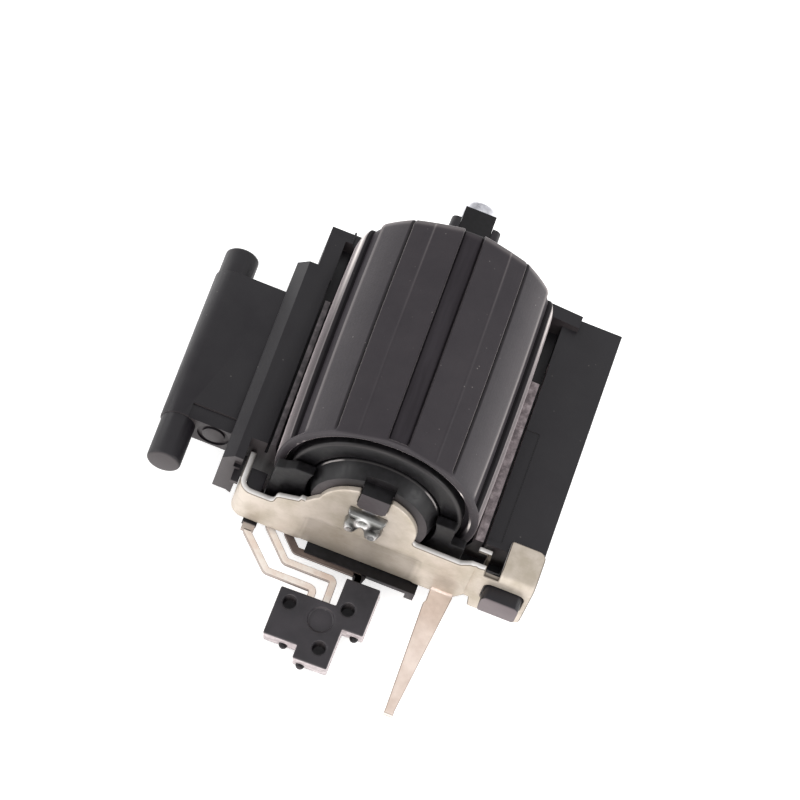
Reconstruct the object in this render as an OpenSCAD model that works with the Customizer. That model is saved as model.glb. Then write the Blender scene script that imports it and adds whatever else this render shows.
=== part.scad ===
// Thumb roller encoder: a ribbed roller that turns on a steel shaft in a moulded frame,
// with a stamped end plate, a pivot pin at one side and three leads to a terminal block.
// Each module is drawn from the roller's axis at the end plate's front face:
// +X to the right, +Y to the rear, +Z up. seat() puts the origin on the flat underside.

/* [Roller] */
// Radius over the rubber sleeve's ends
roller_r = 5.1; // [4.9:0.05:5.15]
// How much the sleeve's middle stands above its ends
roller_crown = 0.1; // [0:0.02:0.14]
// Length of the roller
roller_len = 12.7; // [11.5:0.1:12.9]
// Thickness of the rubber sleeve
sleeve_wall = 0.8; // [0.6:0.05:0.85]
// Turn from the middle finger channel to the next one, in degrees
channel_turn = 65; // [60:1:72]
// Turn from the middle channel to the fine groove beside it, in degrees
groove_turn = 36; // [30:1:40]
// Width of each finger channel
channel_w = 1.0; // [0.6:0.05:1.5]
// Depth of each finger channel
channel_depth = 0.2; // [0.1:0.02:0.3]
// Width of the fine groove between two channels
groove_w = 0.14; // [0.08:0.02:0.3]
// Depth of the fine groove
groove_depth = 0.12; // [0.06:0.02:0.2]
// Depth of the rounding at the sleeve's front end
sleeve_round = 0.3; // [0.15:0.01:0.34]
// Depth of the rounding at the sleeve's rear end
sleeve_round_rear = 0.22; // [0.15:0.01:0.34]
// Length of the rounding at the sleeve's two ends
sleeve_round_len = 0.45; // [0.3:0.05:1.2]
// Width of the ring recess in the sleeve's front end
rim_recess_w = 0.32; // [0.15:0.02:0.38]
// Depth of the ring recess
rim_recess_depth = 0.45; // [0.2:0.05:0.8]
// Turn of the channel pattern at rest, in degrees
rest_turn = 0; // [0:1:36]

/* [Bearings] */
// Radius of the steel shaft
shaft_r = 0.8; // [0.6:0.05:0.9]
// Length of shaft behind the rear key
shaft_tail = 1.5; // [0.8:0.05:2]
// Rounding of the shaft's rear end
shaft_round = 0.25; // [0.1:0.05:0.4]
// Radial clearance of the shaft in still pieces
seat_fit = 0.02; // [0.01:0.01:0.05]
// Radial clearance of the running fits
run_fit = 0.05; // [0.02:0.01:0.09]
// Radius of the front journal that carries the roller
front_journal_r = 3.2; // [3.1:0.05:3.3]
// Radius of the front hub's face behind the end plate
hub_face_r = 2.9; // [2.7:0.05:3.0]
// Length of the front journal
journal_len = 1.1; // [0.8:0.1:1.4]
// Radius of the rear journal
rear_journal_r = 1.6; // [1.3:0.05:1.8]
// Length of the rear journal in the roller
rear_journal_len = 1.5; // [1:0.1:2.5]
// Radius of the still disc behind the roller
rear_disc_r = 2.2; // [1.9:0.05:2.4]
// Thickness of the washer behind the roller
washer_t = 0.12; // [0.08:0.02:0.2]

/* [Key] */
// Width of the front key
key_w = 1.46; // [1.1:0.02:1.6]
// Height of the front key's upper face above the axis
key_top = 2.35; // [2.2:0.05:2.4]
// Height of the keys' lower face above the axis
key_floor = 1.0; // [0.98:0.02:1.2]
// How far the front key stands out of the end plate
key_proud = 0.15; // [0.05:0.05:0.5]
// Width of the rear key
rear_key_w = 1.58; // [1.3:0.02:1.66]
// Height of the rear key's upper face above the axis
rear_key_top = 2.2; // [2.0:0.05:2.3]
// Length of the rear key behind the post
rear_key_proud = 0.7; // [0.3:0.05:1]
// Side clearance of a key in its notch
key_gap = 0.02; // [0.01:0.01:0.04]

/* [Detent and code] */
// Number of clicks in one turn
click_count = 15; // [10:1:20]
// Crest radius of the click ring
click_crest_r = 2.9; // [2.8:0.02:3.0]
// Radius of one click notch
click_notch_r = 0.38; // [0.3:0.02:0.44]
// Radius of the click ball
ball_r = 0.4; // [0.3:0.02:0.44]
// Thickness of the click spring
spring_t = 0.14; // [0.1:0.01:0.18]
// Radius of the hub's spindle
spindle_r = 1.7; // [1.5:0.05:1.8]
// Radius of the contact face on the hub
contact_face_r = 2.8; // [2.6:0.05:2.85]
// Thickness of the code disc
code_t = 0.35; // [0.2:0.05:0.5]
// Thickness of the metal code pattern
pattern_t = 0.1; // [0.06:0.02:0.14]
// Number of segments in the code pattern
code_segments = 15; // [8:1:20]
// Spacing of the three wipers
wiper_pitch = 0.5; // [0.42:0.02:0.52]
// Width of a wiper
wiper_w = 0.32; // [0.2:0.02:0.36]

/* [End plate] */
// Thickness of the end plate
plate_t = 0.3; // [0.2:0.02:0.36]
// Height of the plate's lower edge below the axis
plate_drop = 4.25; // [4.0:0.05:4.3]
// Radius of the plate's dome round the shaft
dome_r = 2.5; // [2.4:0.02:2.6]
// Left end of the plate
plate_left = 6.26; // [6.2:0.02:6.4]
// Right end of the plate's main part
plate_right = 5.6; // [5.45:0.05:5.65]
// Outer bend radius of the left flange
bend_r = 0.7; // [0.5:0.02:0.8]
// Outer bend radius of the fold over the right block
fold_r = 0.5; // [0.4:0.02:0.6]
// Depth of the left flange
flange_depth = 2.25; // [1.2:0.05:2.4]
// Depth of the fold over the right block
fold_depth = 2.15; // [1.4:0.05:2.6]
// Length of the tapered leg in front of the plate
leg_len = 7.25; // [5:0.05:7.6]
// Width of the leg at its root
leg_root_w = 1.16; // [0.9:0.01:1.3]
// Width of the leg at its tip
leg_tip_w = 0.47; // [0.3:0.01:0.7]
// Width of the shaft's staked head
head_w = 1.95; // [1.85:0.05:2.1]
// How far the staked head stands out of the plate
head_proud = 0.5; // [0.25:0.05:0.6]
// Left end of the pressed field below the shaft
field_left = 2.65; // [2.4:0.05:2.9]
// Right end of the pressed field
field_right = 3.25; // [2.9:0.05:3.5]
// Upper side of the pressed field below the axis
field_drop = 1.85; // [1.7:0.05:2.1]

/* [Frame] */
// Height of the axis above the flat underside
axis_h = 6.0; // [5.9:0.05:6.4]
// Clearance of the roller in its trough
trough_gap = 0.12; // [0.1:0.02:0.2]
// Drop of the side blocks' tops below the axis
block_drop = 0.9; // [0.7:0.05:1.0]
// Left side of the left block
block_left = 7.42; // [7.36:0.02:7.6]
// Right side of the right block
block_right = 8.7; // [8.6:0.05:8.9]
// How far the left block's outer part ends before the frame's rear face
left_end_step = 2.5; // [2.2:0.05:3]
// Distance of the frame's rear face behind the roller
rear_gap = 1.15; // [1.1:0.01:1.3]
// Thickness of the rear wall
rear_wall_t = 0.7; // [0.6:0.05:0.75]
// Width of the rear post
post_w = 2.52; // [2.3:0.05:2.8]
// Thickness of the rear post
post_t = 1.1; // [0.8:0.05:1.4]
// Chamfer on the left block's outer top edge
block_chamfer = 0.53; // [0.3:0.02:0.7]
// Width of the thin lip on the roller's left
lip_left_w = 0.26; // [0.2:0.02:0.3]
// Width of the thin lip on the roller's right
lip_right_w = 0.42; // [0.2:0.02:0.46]
// Gap between a lip and its block
lip_gap = 0.14; // [0.1:0.02:0.2]
// Length of the thin lips
lip_len = 10.2; // [7:0.1:11]

/* [Pivot arm] */
// Radius of the pivot pin
pin_r = 0.85; // [0.7:0.05:0.9]
// Distance of the pin from the roller's axis
pin_x = 10.0; // [9.8:0.05:10.4]
// Drop of the pin below the roller's axis
pin_drop = 2.93; // [2.8:0.01:3.1]
// Depth at which the pin begins
pin_front = 0.5; // [0:0.05:1.5]
// Depth at which the pin ends
pin_rear = 12.85; // [12:0.05:14]
// Thickness of the pivot arm
arm_t = 1.85; // [1.8:0.01:2.0]
// Depth at which the arm begins
arm_front = 2.87; // [2.4:0.01:3.2]
// Depth at which the arm ends
arm_rear = 11.35; // [10.5:0.05:11.6]
// Radius of the round mark on the arm's front end
mark_r = 0.8; // [0.6:0.05:0.85]

/* [Leads] */
// Width of the flat leads
lead_w = 0.38; // [0.3:0.01:0.4]
// Thickness of the flat leads
lead_t = 0.2; // [0.12:0.01:0.22]
// Gap between the plate's lower edge and the contact foot
foot_gap = 0.04; // [0.02:0.01:0.08]
// Depth of the bar in front of the plate
bar_depth = 0.5; // [0.4:0.01:0.5]
// Thickness of the bar under the plate
bar_t = 0.26; // [0.2:0.02:0.4]

/* [Terminal block] */
// Thickness of the terminal block
term_t = 1.1; // [0.8:0.05:1.15]
// Fall of the block towards the front, in degrees
term_fall = 12; // [10:0.5:13]
// Sideways tilt of the block, in degrees
term_roll = -7; // [-7:0.5:0]
// Width of the block's left part
term_left_w = 2.79; // [2.5:0.01:2.9]
// Width of the block's front part
term_front_w = 1.73; // [1.5:0.01:1.9]
// Radius of the three round pockets
pocket_r = 0.33; // [0.2:0.01:0.38]
// Radius of the shallow dimple
dimple_r = 0.66; // [0.4:0.02:0.7]

/* [Hidden] */
$fn = 48;
tiny = 0.01;
touch = 0.02;
bond = 0.01;
roller_front = 1.45;
roller_rear = roller_front + roller_len;
core_r = roller_r - sleeve_wall;
core_front = roller_front - 0.2;
hub_shoulder = core_front;
journal_rear = hub_shoulder + journal_len;
core_cavity_r = front_journal_r + run_fit + 0.25;
click_front = journal_rear + 0.3;
click_len = 1.2;
click_rear = click_front + click_len;
contact_face_front = click_rear + 0.5;
contact_face_rear = contact_face_front + 1.0;
wiper_t = 0.12;
wiper_rise = 0.55;
pattern_front = contact_face_rear + wiper_t + wiper_rise + run_fit;
code_front = pattern_front + pattern_t;
cavity_rear = code_front + code_t;
washer_front = roller_rear + 0.03;
rear_disc_front = washer_front + washer_t + 0.03;
frame_rear = roller_rear + rear_gap;
block_left_rear = frame_rear - left_end_step;
post_front = frame_rear;
post_rear = frame_rear + post_t;
post_notch_floor = key_floor - 0.08;
post_top = rear_key_top;
rear_key_rear = post_rear + rear_key_proud;
shaft_rear = rear_key_rear + shaft_tail;
trough_r = roller_r + roller_crown + trough_gap;
wall_front = frame_rear - rear_wall_t;
block_front = 1.1;
block_low = plate_drop;
floor_half = 4.2;
lip_inner = sqrt(trough_r * trough_r - block_drop * block_drop);
inner_strip_left = 6.45;
right_step_x = 6.5;
plate_step_x = 4.4;
flange_top = 1.8;
leg_root_x = 4.18;
leg_tip_x = 4.1;
fold_top = -block_drop + touch + plate_t;
tab_left = 6.05;
neck_low = -3.45;
press_depth = 0.04;
dome_z = -0.2;
tab_right = block_right + 0.05;
fold_left = 6.95;
boss_x = 7.47;
boss_z = -2.38;
boss_w = 1.88;
boss_h = 1.45;
boss_proud = 0.72;
boss_gap = 0.05;
web_rear = 0.92;
foot_low = -plate_drop - foot_gap;
bar_right = 3.6;
lead_high = foot_low - 0.08;
lead_low = lead_high - lead_t;
foot_bottom = lead_low - 0.06;
foot_left = 5.42;
// The slots between the code pattern's segments
slot_w = 0.32;
slot_inner = 1.55;
slot_len = 0.95;
// The wipers: the first one's place, the root's half length and the depth of the finger's crest
wiper_z = -shaft_r - 0.45;
wiper_root = 1.3;
wiper_crest = contact_face_rear + wiper_t + wiper_rise - 0.02;
// The click spring on the spindle's flat seat, and the ball it presses down
click_seat_half = 1.6;
click_seat_z = -spindle_r + 0.15;
ball_z = -(click_crest_r - run_fit - ball_r + 0.1);
spring_half = 1.35;
spring_foot = click_seat_z - spring_t / 2;
spring_crest = ball_z + ball_r + tiny + spring_t / 2;
// The turns of the channels and of the grooves: the hidden ones share what the three channels in front leave
hidden_turn = channel_turn + (360 - 2 * channel_turn) / 3;
channel_turns = [0, channel_turn, hidden_turn, -hidden_turn, -channel_turn];
hidden_groove = (channel_turn + hidden_turn) / 2;
groove_turns = [groove_turn, hidden_groove, 180, -hidden_groove, -groove_turn];
// The tongue of the tab in the right block's corner pocket
tongue_left = 5.6;
tongue_front = 1.2;
tongue_rear = 1.45;
origin_y = roller_front + roller_len / 2;

// Small helpers

// Puts the origin on the underside, below the middle of the roller
module seat() translate([0, -origin_y, axis_h]) children();

// Turns a shape that is built along +Z so that it runs along +Y
module along_y(y = 0) translate([0, y, 0]) rotate([-90, 0, 0]) children();

// Extrudes an outline in X and Z from y0 to y1
module slab(y0, y1) translate([0, y1, 0]) rotate([90, 0, 0]) linear_extrude(y1 - y0) children();

// Extrudes an outline in X and Y from z0 to z1
module sheet(z0, z1) translate([0, 0, z0]) linear_extrude(z1 - z0) children();

// A box given by its two opposite corners
module block(low, high) translate(low) cube(high - low);

// A solid turned about the roller's axis from points of radius and depth
module turned(points) rotate([-90, 0, 0]) rotate_extrude($fn = 96) polygon(points);

// A disc about the roller's axis
module disc(r, y0, y1) along_y(y0) cylinder(r = r, h = y1 - y0, $fn = 96);

// The points of an arc about c from angle a0 to a1
function arc(c, r, a0, a1, n = 8) =
    [for (i = [0:n]) let (a = a0 + (a1 - a0) * i / n) c + r * [cos(a), sin(a)]];
function unit(v) = v / norm(v);
function turn_sign(u, v) = u.x * v.y - u.y * v.x > 0 ? 1 : -1;

// The points that round the corner q between p and s with radius r
function corner(p, q, s, r, n) =
    r <= 0 ? [q] :
    let (u = unit(p - q), v = unit(s - q))
    let (half = acos(u * v) / 2, c = q + unit(u + v) * r / sin(half))
    let (a = q + u * r / tan(half) - c, start = atan2(a.y, a.x))
    arc(c, r, start, start - (180 - 2 * half) * turn_sign(u, v), n);

// A closed outline whose corners [x, y, radius] are rounded
function rounded(pts, n = 5) =
    let (m = len(pts))
    [for (i = [0:m - 1])
        each corner([pts[(i + m - 1) % m].x, pts[(i + m - 1) % m].y], [pts[i].x, pts[i].y],
                    [pts[(i + 1) % m].x, pts[(i + 1) % m].y], pts[i][2], n)];

// An open path whose inner corners are rounded with one radius
function soft_path(pts, r, n = 4) =
    let (m = len(pts))
    [for (i = [0:m - 1])
        each (i == 0 || i == m - 1 ? [pts[i]] : corner(pts[i - 1], pts[i], pts[i + 1], r, n))];

// The sideways step at point i of a path that keeps the strip's width through the bend
function side_step(path, i) =
    let (m = len(path), a = unit(path[min(i + 1, m - 1)] - path[min(i, m - 2)]))
    let (b = unit(path[max(i, 1)] - path[max(i - 1, 0)]), t = unit(a + b), n = [-t.y, t.x])
    n / (n * [-a.y, a.x]);

// The outline of a strip of width w that follows a path
function strip(path, w) =
    let (m = len(path))
    concat([for (i = [0:m - 1]) path[i] + side_step(path, i) * w / 2],
           [for (i = [m - 1:-1:0]) path[i] - side_step(path, i) * w / 2]);

// Roller

// The sleeve's radius at a depth y: the middle is slightly proud of the ends
function sleeve_radius(y) =
    let (t = (y - roller_front - roller_len / 2) / (roller_len / 2))
    roller_r + roller_crown * (1 - t * t);

// The rubber sleeve's section: a crowned outside, rounded ends and a ring recess at the front
function sleeve_section() =
    let (y0 = roller_front + sleeve_round_len, y1 = roller_rear - sleeve_round_len)
    concat(
        [[core_r + bond, roller_rear], [core_r + bond, roller_front + rim_recess_depth],
         [core_r + rim_recess_w, roller_front + rim_recess_depth],
         [core_r + rim_recess_w, roller_front]],
        [for (a = [0:15:75])
            [sleeve_radius(y0) - sleeve_round * (1 - sin(a)), y0 - sleeve_round_len * cos(a)]],
        [for (k = [0:12]) let (y = y0 + (y1 - y0) * k / 12) [sleeve_radius(y), y]],
        [for (a = [75:-15:0])
            [sleeve_radius(y1) - sleeve_round_rear * (1 - sin(a)), y1 + sleeve_round_len * cos(a)]]);

// The outline that cuts one finger channel: a shallow flat floor with steep sides
module channel_outline()
    polygon([[-channel_w / 2 - 0.08, roller_r + 0.5], [-channel_w / 2, roller_r - channel_depth],
             [channel_w / 2, roller_r - channel_depth], [channel_w / 2 + 0.08, roller_r + 0.5]]);

// The outline that cuts one fine groove
module groove_outline()
    polygon([[-groove_w, roller_r + 0.4], [0, roller_r - groove_depth], [groove_w, roller_r + 0.4]]);

module roller_sleeve() color("#424044")
    rotate([0, -rest_turn, 0])
    difference() {
        turned(sleeve_section());
        for (turn = channel_turns)
            rotate([0, turn, 0]) slab(roller_front - 1, roller_rear + 1) channel_outline();
        for (turn = groove_turns)
            rotate([0, turn, 0]) slab(roller_front - 1, roller_rear + 1) groove_outline();
    }

// The drum under the sleeve, with the front bearing, the cavity and the rear bearing in one bore
module roller_core() color("#1d1c20")
    turned([[core_r, core_front + 0.12], [core_r, roller_rear - 0.12],
            [core_r - 0.12, roller_rear], [rear_journal_r + run_fit, roller_rear],
            [rear_journal_r + run_fit, roller_rear - rear_journal_len - 0.1],
            [shaft_r + run_fit, roller_rear - rear_journal_len - 0.1],
            [shaft_r + run_fit, cavity_rear], [core_cavity_r, cavity_rear],
            [core_cavity_r, journal_rear + 0.1], [front_journal_r + run_fit, journal_rear + 0.1],
            [front_journal_r + run_fit, core_front + 0.12],
            [front_journal_r + run_fit + 0.12, core_front], [core_r - 0.12, core_front]]);

// The ring with the click notches, pressed into the drum's cavity
module detent_ring() color("#2a292d")
    slab(click_front, click_rear)
    difference() {
        circle(r = core_cavity_r, $fn = 96);
        circle(r = click_crest_r, $fn = 96);
        for (k = [0:click_count - 1])
            rotate(360 * k / click_count)
                translate([0, -click_crest_r])
                circle(r = click_notch_r, $fn = 32);
    }

// The insulating disc that carries the code pattern
module code_disc() color("#3b2f25")
    along_y(code_front)
    difference() {
        cylinder(r = core_cavity_r, h = code_t, $fn = 96);
        translate([0, 0, -code_t]) cylinder(r = shaft_r + run_fit, h = 3 * code_t);
    }

// The stamped pattern: an inner ring with a comb of segments round it
module code_pattern() color("#c9a253")
    slab(pattern_front, code_front)
    difference() {
        circle(r = core_cavity_r - 0.25, $fn = 96);
        circle(r = 1.0);
        for (k = [0:code_segments - 1])
            rotate(360 * (k + 0.5) / code_segments)
                translate([-slot_w / 2, slot_inner])
                square([slot_w, slot_len]);
    }

// Shaft and hubs

// The steel shaft with its rounded rear end and the staked head in front of the plate
module shaft() color("#b9b8b6")
    union() {
        turned(concat([[0, 0], [shaft_r, 0], [shaft_r, shaft_rear - shaft_round]],
                      arc([shaft_r - shaft_round, shaft_rear - shaft_round], shaft_round, 15, 90, 5),
                      [[0, shaft_rear]]));
        staked_head();
    }

// The head is squeezed into two lobes with a dent between them
module staked_head()
    difference() {
        slab(-head_proud, 0)
            polygon(rounded([[-head_w / 2, -1.1, 0.3], [-0.3, -1.2, 0.2], [0, -0.78, 0.1],
                             [0.3, -1.2, 0.2], [head_w / 2, -1.1, 0.3], [head_w / 2, 0.88, 0.2],
                             [0.35, 0.8, 0.1], [-0.35, 0.8, 0.1], [-head_w / 2, 0.88, 0.2]], 4));
        translate([0, -head_proud - 0.25, 0.1]) sphere(r = 0.45, $fn = 32);
    }

// A key's section of width w, with its lower corners cut off
module key_outline(w, top)
    polygon([[-w / 2, top], [-w / 2, key_floor + 0.2], [-w / 2 + 0.2, key_floor],
             [w / 2 - 0.2, key_floor], [w / 2, key_floor + 0.2], [w / 2, top]]);

// The still front hub: it carries the roller's front bearing, the click spring and the wipers,
// and its foot holds the leads under the plate
module contact_hub() color("#232226")
    difference() {
        union() {
            turned([[shaft_r + seat_fit, plate_t], [hub_face_r, plate_t],
                    [front_journal_r, hub_shoulder], [front_journal_r, journal_rear],
                    [spindle_r, journal_rear], [spindle_r, contact_face_front],
                    [contact_face_r, contact_face_front], [contact_face_r, contact_face_rear],
                    [shaft_r + seat_fit, contact_face_rear]]);
            slab(-key_proud, plate_t + 0.3) key_outline(key_w, key_top);
            contact_foot();
        }
        disc(shaft_r + seat_fit, -1, contact_face_rear + 1);
        hub_slot();
        // Flat seat for the click spring
        block([-click_seat_half, click_front - 0.2, -spindle_r - 1],
              [click_seat_half, click_rear + 0.1, click_seat_z]);
    }

// The notch in the hub's face above the key
module hub_slot()
    block([-key_w / 2 - 0.06, plate_t - 1, key_top],
          [key_w / 2 + 0.06, plate_t + 0.28, hub_face_r + 1]);

// The web behind the plate, the foot that holds the leads, the nib and the bar in front
module contact_foot()
    difference() {
        union() {
            slab(plate_t, web_rear)
                polygon([[-2.6, 0], [-2.6, -3.2], [-foot_left, -3.5], [-foot_left, foot_bottom],
                         [bar_right, foot_bottom], [bar_right, -3.2], [2.6, -2.6], [2.6, 0]]);
            block([-2.12, -bar_depth, foot_low - bar_t], [bar_right, web_rear, foot_low]);
            block([bar_right - 0.45, -bar_depth, foot_low - bar_t - 0.38],
                  [bar_right, plate_t + tiny, foot_low - tiny]);
            block([-foot_left, -0.12, foot_bottom],
                  [-foot_left + 0.72, plate_t + tiny, foot_low]);
        }
        disc(front_journal_r, web_rear - tiny, web_rear + 1);
        for (route = [route_a, route_b, route_common]) lead(route, touch);
    }

// A wiper spring: a flat root on the hub's contact face and a finger that rises to the code pattern
module wiper(z) color("#d6b25e")
    translate([0, 0, z - wiper_w / 2])
    linear_extrude(wiper_w)
    polygon([[-wiper_root, contact_face_rear], [-0.2, contact_face_rear],
             [0.95, wiper_crest - wiper_t - 0.03], [1.2, wiper_crest - wiper_t - 0.18],
             [1.28, wiper_crest - wiper_t - 0.08], [1.0, wiper_crest], [0.9, wiper_crest],
             [-0.25, contact_face_rear + wiper_t], [-wiper_root, contact_face_rear + wiper_t]]);

module wiper_common() wiper(wiper_z);
module wiper_a() wiper(wiper_z - wiper_pitch);
module wiper_b() wiper(wiper_z - 2 * wiper_pitch);

// The click spring: a bowed leaf between the spindle's flat and the ball
module detent_spring() color("#c8c4bb")
    slab(click_front + 0.15, click_rear - 0.15)
    polygon(strip([[-spring_half, spring_foot], [-0.9, spring_foot],
                   [-0.25, spring_crest], [0.25, spring_crest],
                   [0.9, spring_foot], [spring_half, spring_foot]], spring_t));

// The ball that drops into the click notches
module detent_ball() color("#d5d4d1")
    translate([0, (click_front + click_rear) / 2, ball_z]) sphere(r = ball_r, $fn = 32);

// The thin washer between the journal's end and the click ring
module thrust_washer() color("#c9a15a")
    turned([[spindle_r + 0.05, journal_rear + 0.06], [front_journal_r - 0.05, journal_rear + 0.06],
            [front_journal_r - 0.05, journal_rear + 0.2], [spindle_r + 0.05, journal_rear + 0.2]]);

// The thin washer between the roller and the rear disc
module rear_washer() color("#bdbab4")
    turned([[shaft_r + seat_fit + rear_journal_r - shaft_r, washer_front], [rear_disc_r - 0.1, washer_front],
            [rear_disc_r - 0.1, washer_front + washer_t],
            [shaft_r + seat_fit + rear_journal_r - shaft_r, washer_front + washer_t]]);

// The still rear hub: its journal carries the roller, its key sits in the post
module rear_hub() color("#29282c")
    difference() {
        union() {
            disc(rear_journal_r, roller_rear - rear_journal_len, rear_disc_front + tiny);
            disc(rear_disc_r, rear_disc_front, post_front - touch);
            slab(post_front - 0.1, rear_key_rear) key_outline(rear_key_w, rear_key_top);
        }
        disc(shaft_r + seat_fit, roller_rear - rear_journal_len - 1, rear_key_rear + 1);
    }

// End plate

// The plate's outline, from the lower left fold over the dome to the neck and the lower right
function plate_outline() =
    let (notch_a = acos((key_w / 2 + key_gap) / dome_r))
    concat(plate_left_edge(),
           arc([0, dome_z], dome_r, 173, 180 - notch_a, 12),
           [[-key_w / 2 - key_gap, key_floor + 0.2 - key_gap], [-key_w / 2 + 0.2, key_floor - key_gap],
            [key_w / 2 - 0.2, key_floor - key_gap], [key_w / 2 + key_gap, key_floor + 0.2 - key_gap]],
           arc([0, dome_z], dome_r, notch_a, -11, 14),
           arc([2.78, -0.52], 0.25, 190, 265, 3),
           [[plate_right - 0.4, -0.86]],
           arc([plate_right + 0.2, -0.75], 0.25, 215, 120, 4),
           [[tab_left + 0.12, -0.48], [tab_left + 0.17, -1.02], [tab_left + 0.3, -1.05],
            [tab_left + 0.3, -plate_drop + 0.2], [tab_left, -plate_drop + 0.3],
            [tab_left - 0.1, neck_low], [plate_right + 0.1, neck_low],
            [plate_right - 0.35, -plate_drop + 0.05], [plate_right - 0.45, -plate_drop]]);

// The left corner, the step, the slope and the nick up to the dome
function plate_left_edge() = concat(
    [[-plate_left + bend_r, -plate_drop], [-plate_left + bend_r, -flange_top]],
    arc([-plate_step_x - 0.25, -flange_top + 0.25], 0.25, 270, 350, 4),
    arc([-plate_step_x + 0.32, -1.42], 0.28, 180, 105, 4),
    [[-3.32, -0.78], [-3.22, -0.52], [-3.02, -0.54], [-2.8, -0.1]]);

module front_plate() color("#cbc2ac")
    difference() {
        union() {
            difference() {
                slab(0, plate_t) polygon(plate_outline());
                disc(shaft_r + seat_fit, -1, plate_t + 1);
                // Pressed field below the shaft
                slab(-1, press_depth)
                    polygon(rounded([[-field_left, -plate_drop - 1, 0], [field_right, -plate_drop - 1, 0],
                                     [field_right, -field_drop, 0.35], [-field_left, -field_drop, 0.35]], 5));
            }
            plate_flange();
            plate_tab();
            plate_leg();
        }
        // Crease between the plate and its neck
        block([plate_right + 0.1, -1, neck_low + 0.1], [plate_right + 0.18, 0.03, -1]);
    }

// The left end, rolled back round the bend
module plate_flange()
    difference() {
        sheet(-plate_drop, -flange_top) {
            polygon(concat(arc([-plate_left + bend_r, bend_r], bend_r, 270, 180, 8),
                           [[-plate_left, flange_depth], [-plate_left + plate_t, flange_depth]],
                           arc([-plate_left + bend_r, bend_r], bend_r - plate_t, 180, 270, 8)));
        }
        // Rounded lower corner
        translate([-plate_left + bend_r, 0, -plate_drop + bend_r])
            slab(-1, flange_depth + 1)
            difference() {
                translate([-bend_r - 1, -bend_r - 1]) square(bend_r + 1);
                circle(r = bend_r);
            }
    }

// The tab that clips over the right block, with the hole for the boss
module plate_tab()
    difference() {
        union() {
            slab(0, plate_t)
                polygon(rounded([[tab_left, -plate_drop, 0.12], [tab_right, -plate_drop, 0.4],
                                 [tab_right, -1.3, 0], [tab_right, fold_top - fold_r, 0],
                                 [fold_left, fold_top - fold_r, 0], [fold_left, -1.05, 0],
                                 [tab_left, -1.05, 0]], 4));
            // The fold over the block, seen from the side
            translate([fold_left, 0, 0]) rotate([90, 0, 90]) linear_extrude(tab_right - fold_left)
                polygon(concat(arc([fold_r, fold_top - fold_r], fold_r, 180, 90, 7),
                               [[fold_depth, fold_top], [fold_depth, fold_top - plate_t]],
                               arc([fold_r, fold_top - fold_r], fold_r - plate_t, 90, 180, 7)));
            // The tongue that turns back into the block's corner pocket
            block([tab_left - 0.05, plate_t - tiny, -2.3], [tab_left + 0.2, tongue_rear, -1.6]);
            block([tongue_left, tongue_front, -2.3], [tab_left + 0.2, tongue_rear, -1.0]);
        }
        slab(-1, 1)
            polygon(rounded(boss_corners(boss_gap, 0.35), 5));
        // Rounded rear corners of the fold
        sheet(fold_top - fold_r - 1, fold_top + 1) {
            difference() {
                translate([tab_right - 0.4, fold_depth - 0.4]) square(1);
                translate([tab_right - 0.4, fold_depth - 0.4]) circle(r = 0.4);
            }
        }
    }

// The corners of the boss's outline, widened by a gap
function boss_corners(gap, r) = [
    [boss_x - boss_w / 2 - gap, boss_z - boss_h / 2 - gap, r],
    [boss_x + boss_w / 2 + gap, boss_z - boss_h / 2 - gap, r],
    [boss_x + boss_w / 2 + gap, boss_z + boss_h / 2 + gap, r],
    [boss_x - boss_w / 2 - gap, boss_z + boss_h / 2 + gap, r]];

// The tapered leg, bent forward from the plate's lower edge
module plate_leg()
    sheet(-plate_drop, -plate_drop + plate_t)
    polygon([[leg_root_x - 0.1, tiny], [leg_root_x - 0.1, -0.35], [leg_root_x, -0.6],
             [leg_tip_x + 0.02, -leg_len + 0.25], [leg_tip_x, -leg_len],
             [leg_tip_x + leg_tip_w, -leg_len], [leg_tip_x + leg_tip_w, -leg_len + 0.25],
             [leg_root_x + leg_root_w, tiny]]);

// Frame

// The section through the side blocks and the trough under the roller
module frame_outline()
    difference() {
        polygon([[-block_left, -block_low], [-block_left, -block_drop - block_chamfer],
                 [-block_left + block_chamfer, -block_drop], [0, -block_drop], [block_right, -block_drop],
                 [block_right, -block_low], [floor_half + 0.6, -axis_h + 0.4], [floor_half, -axis_h],
                 [-floor_half, -axis_h], [-floor_half - 0.6, -axis_h + 0.4]]);
        trough_outline();
    }

// The round trough, opened straight up to the blocks' tops
module trough_outline() {
    circle(r = trough_r, $fn = 96);
    translate([-trough_r, 0]) square([2 * trough_r, axis_h]);
}

// The moulded frame: side blocks, trough, rear wall, post, pivot arm, pin and boss
module base_frame() color("#323033")
    difference() {
        union() {
            difference() {
                slab(block_front + 0.2, frame_rear) frame_outline();
                frame_cuts();
            }
            left_block_face();
            right_block_face();
            rear_wall();
            rear_post();
            pivot_arm();
            boss();
        }
        lip_slots();
        disc(shaft_r + seat_fit, wall_front - 1, post_rear + 1);
        disc(rear_disc_r + 0.03, wall_front - 1, post_front);
    }

// What the straight section loses: the stepped rear of the left block and the corner pockets
module frame_cuts() {
    block([-block_left - 1, block_left_rear, -block_low - 1], [-inner_strip_left, frame_rear + 1, 0]);
    block([-block_left - 1, frame_rear - 0.55, -axis_h - 1], [-trough_r, frame_rear + 1, 0]);
    // Room for the plate's left flange
    block([-inner_strip_left, 0, -block_low - 1], [-trough_r + 0.4, flange_depth + 0.15, 0]);
    // Shallow step along the right block's top
    block([trough_r - 0.4, block_front + 0.9, -block_drop - 0.05], [right_step_x, block_front + 7.3, 0]);
    // Room for the tongue at the right corner
    block([trough_r - 0.4, 0, -2.6], [tab_left + 0.95, tongue_rear + 0.2, 0]);
}

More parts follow.
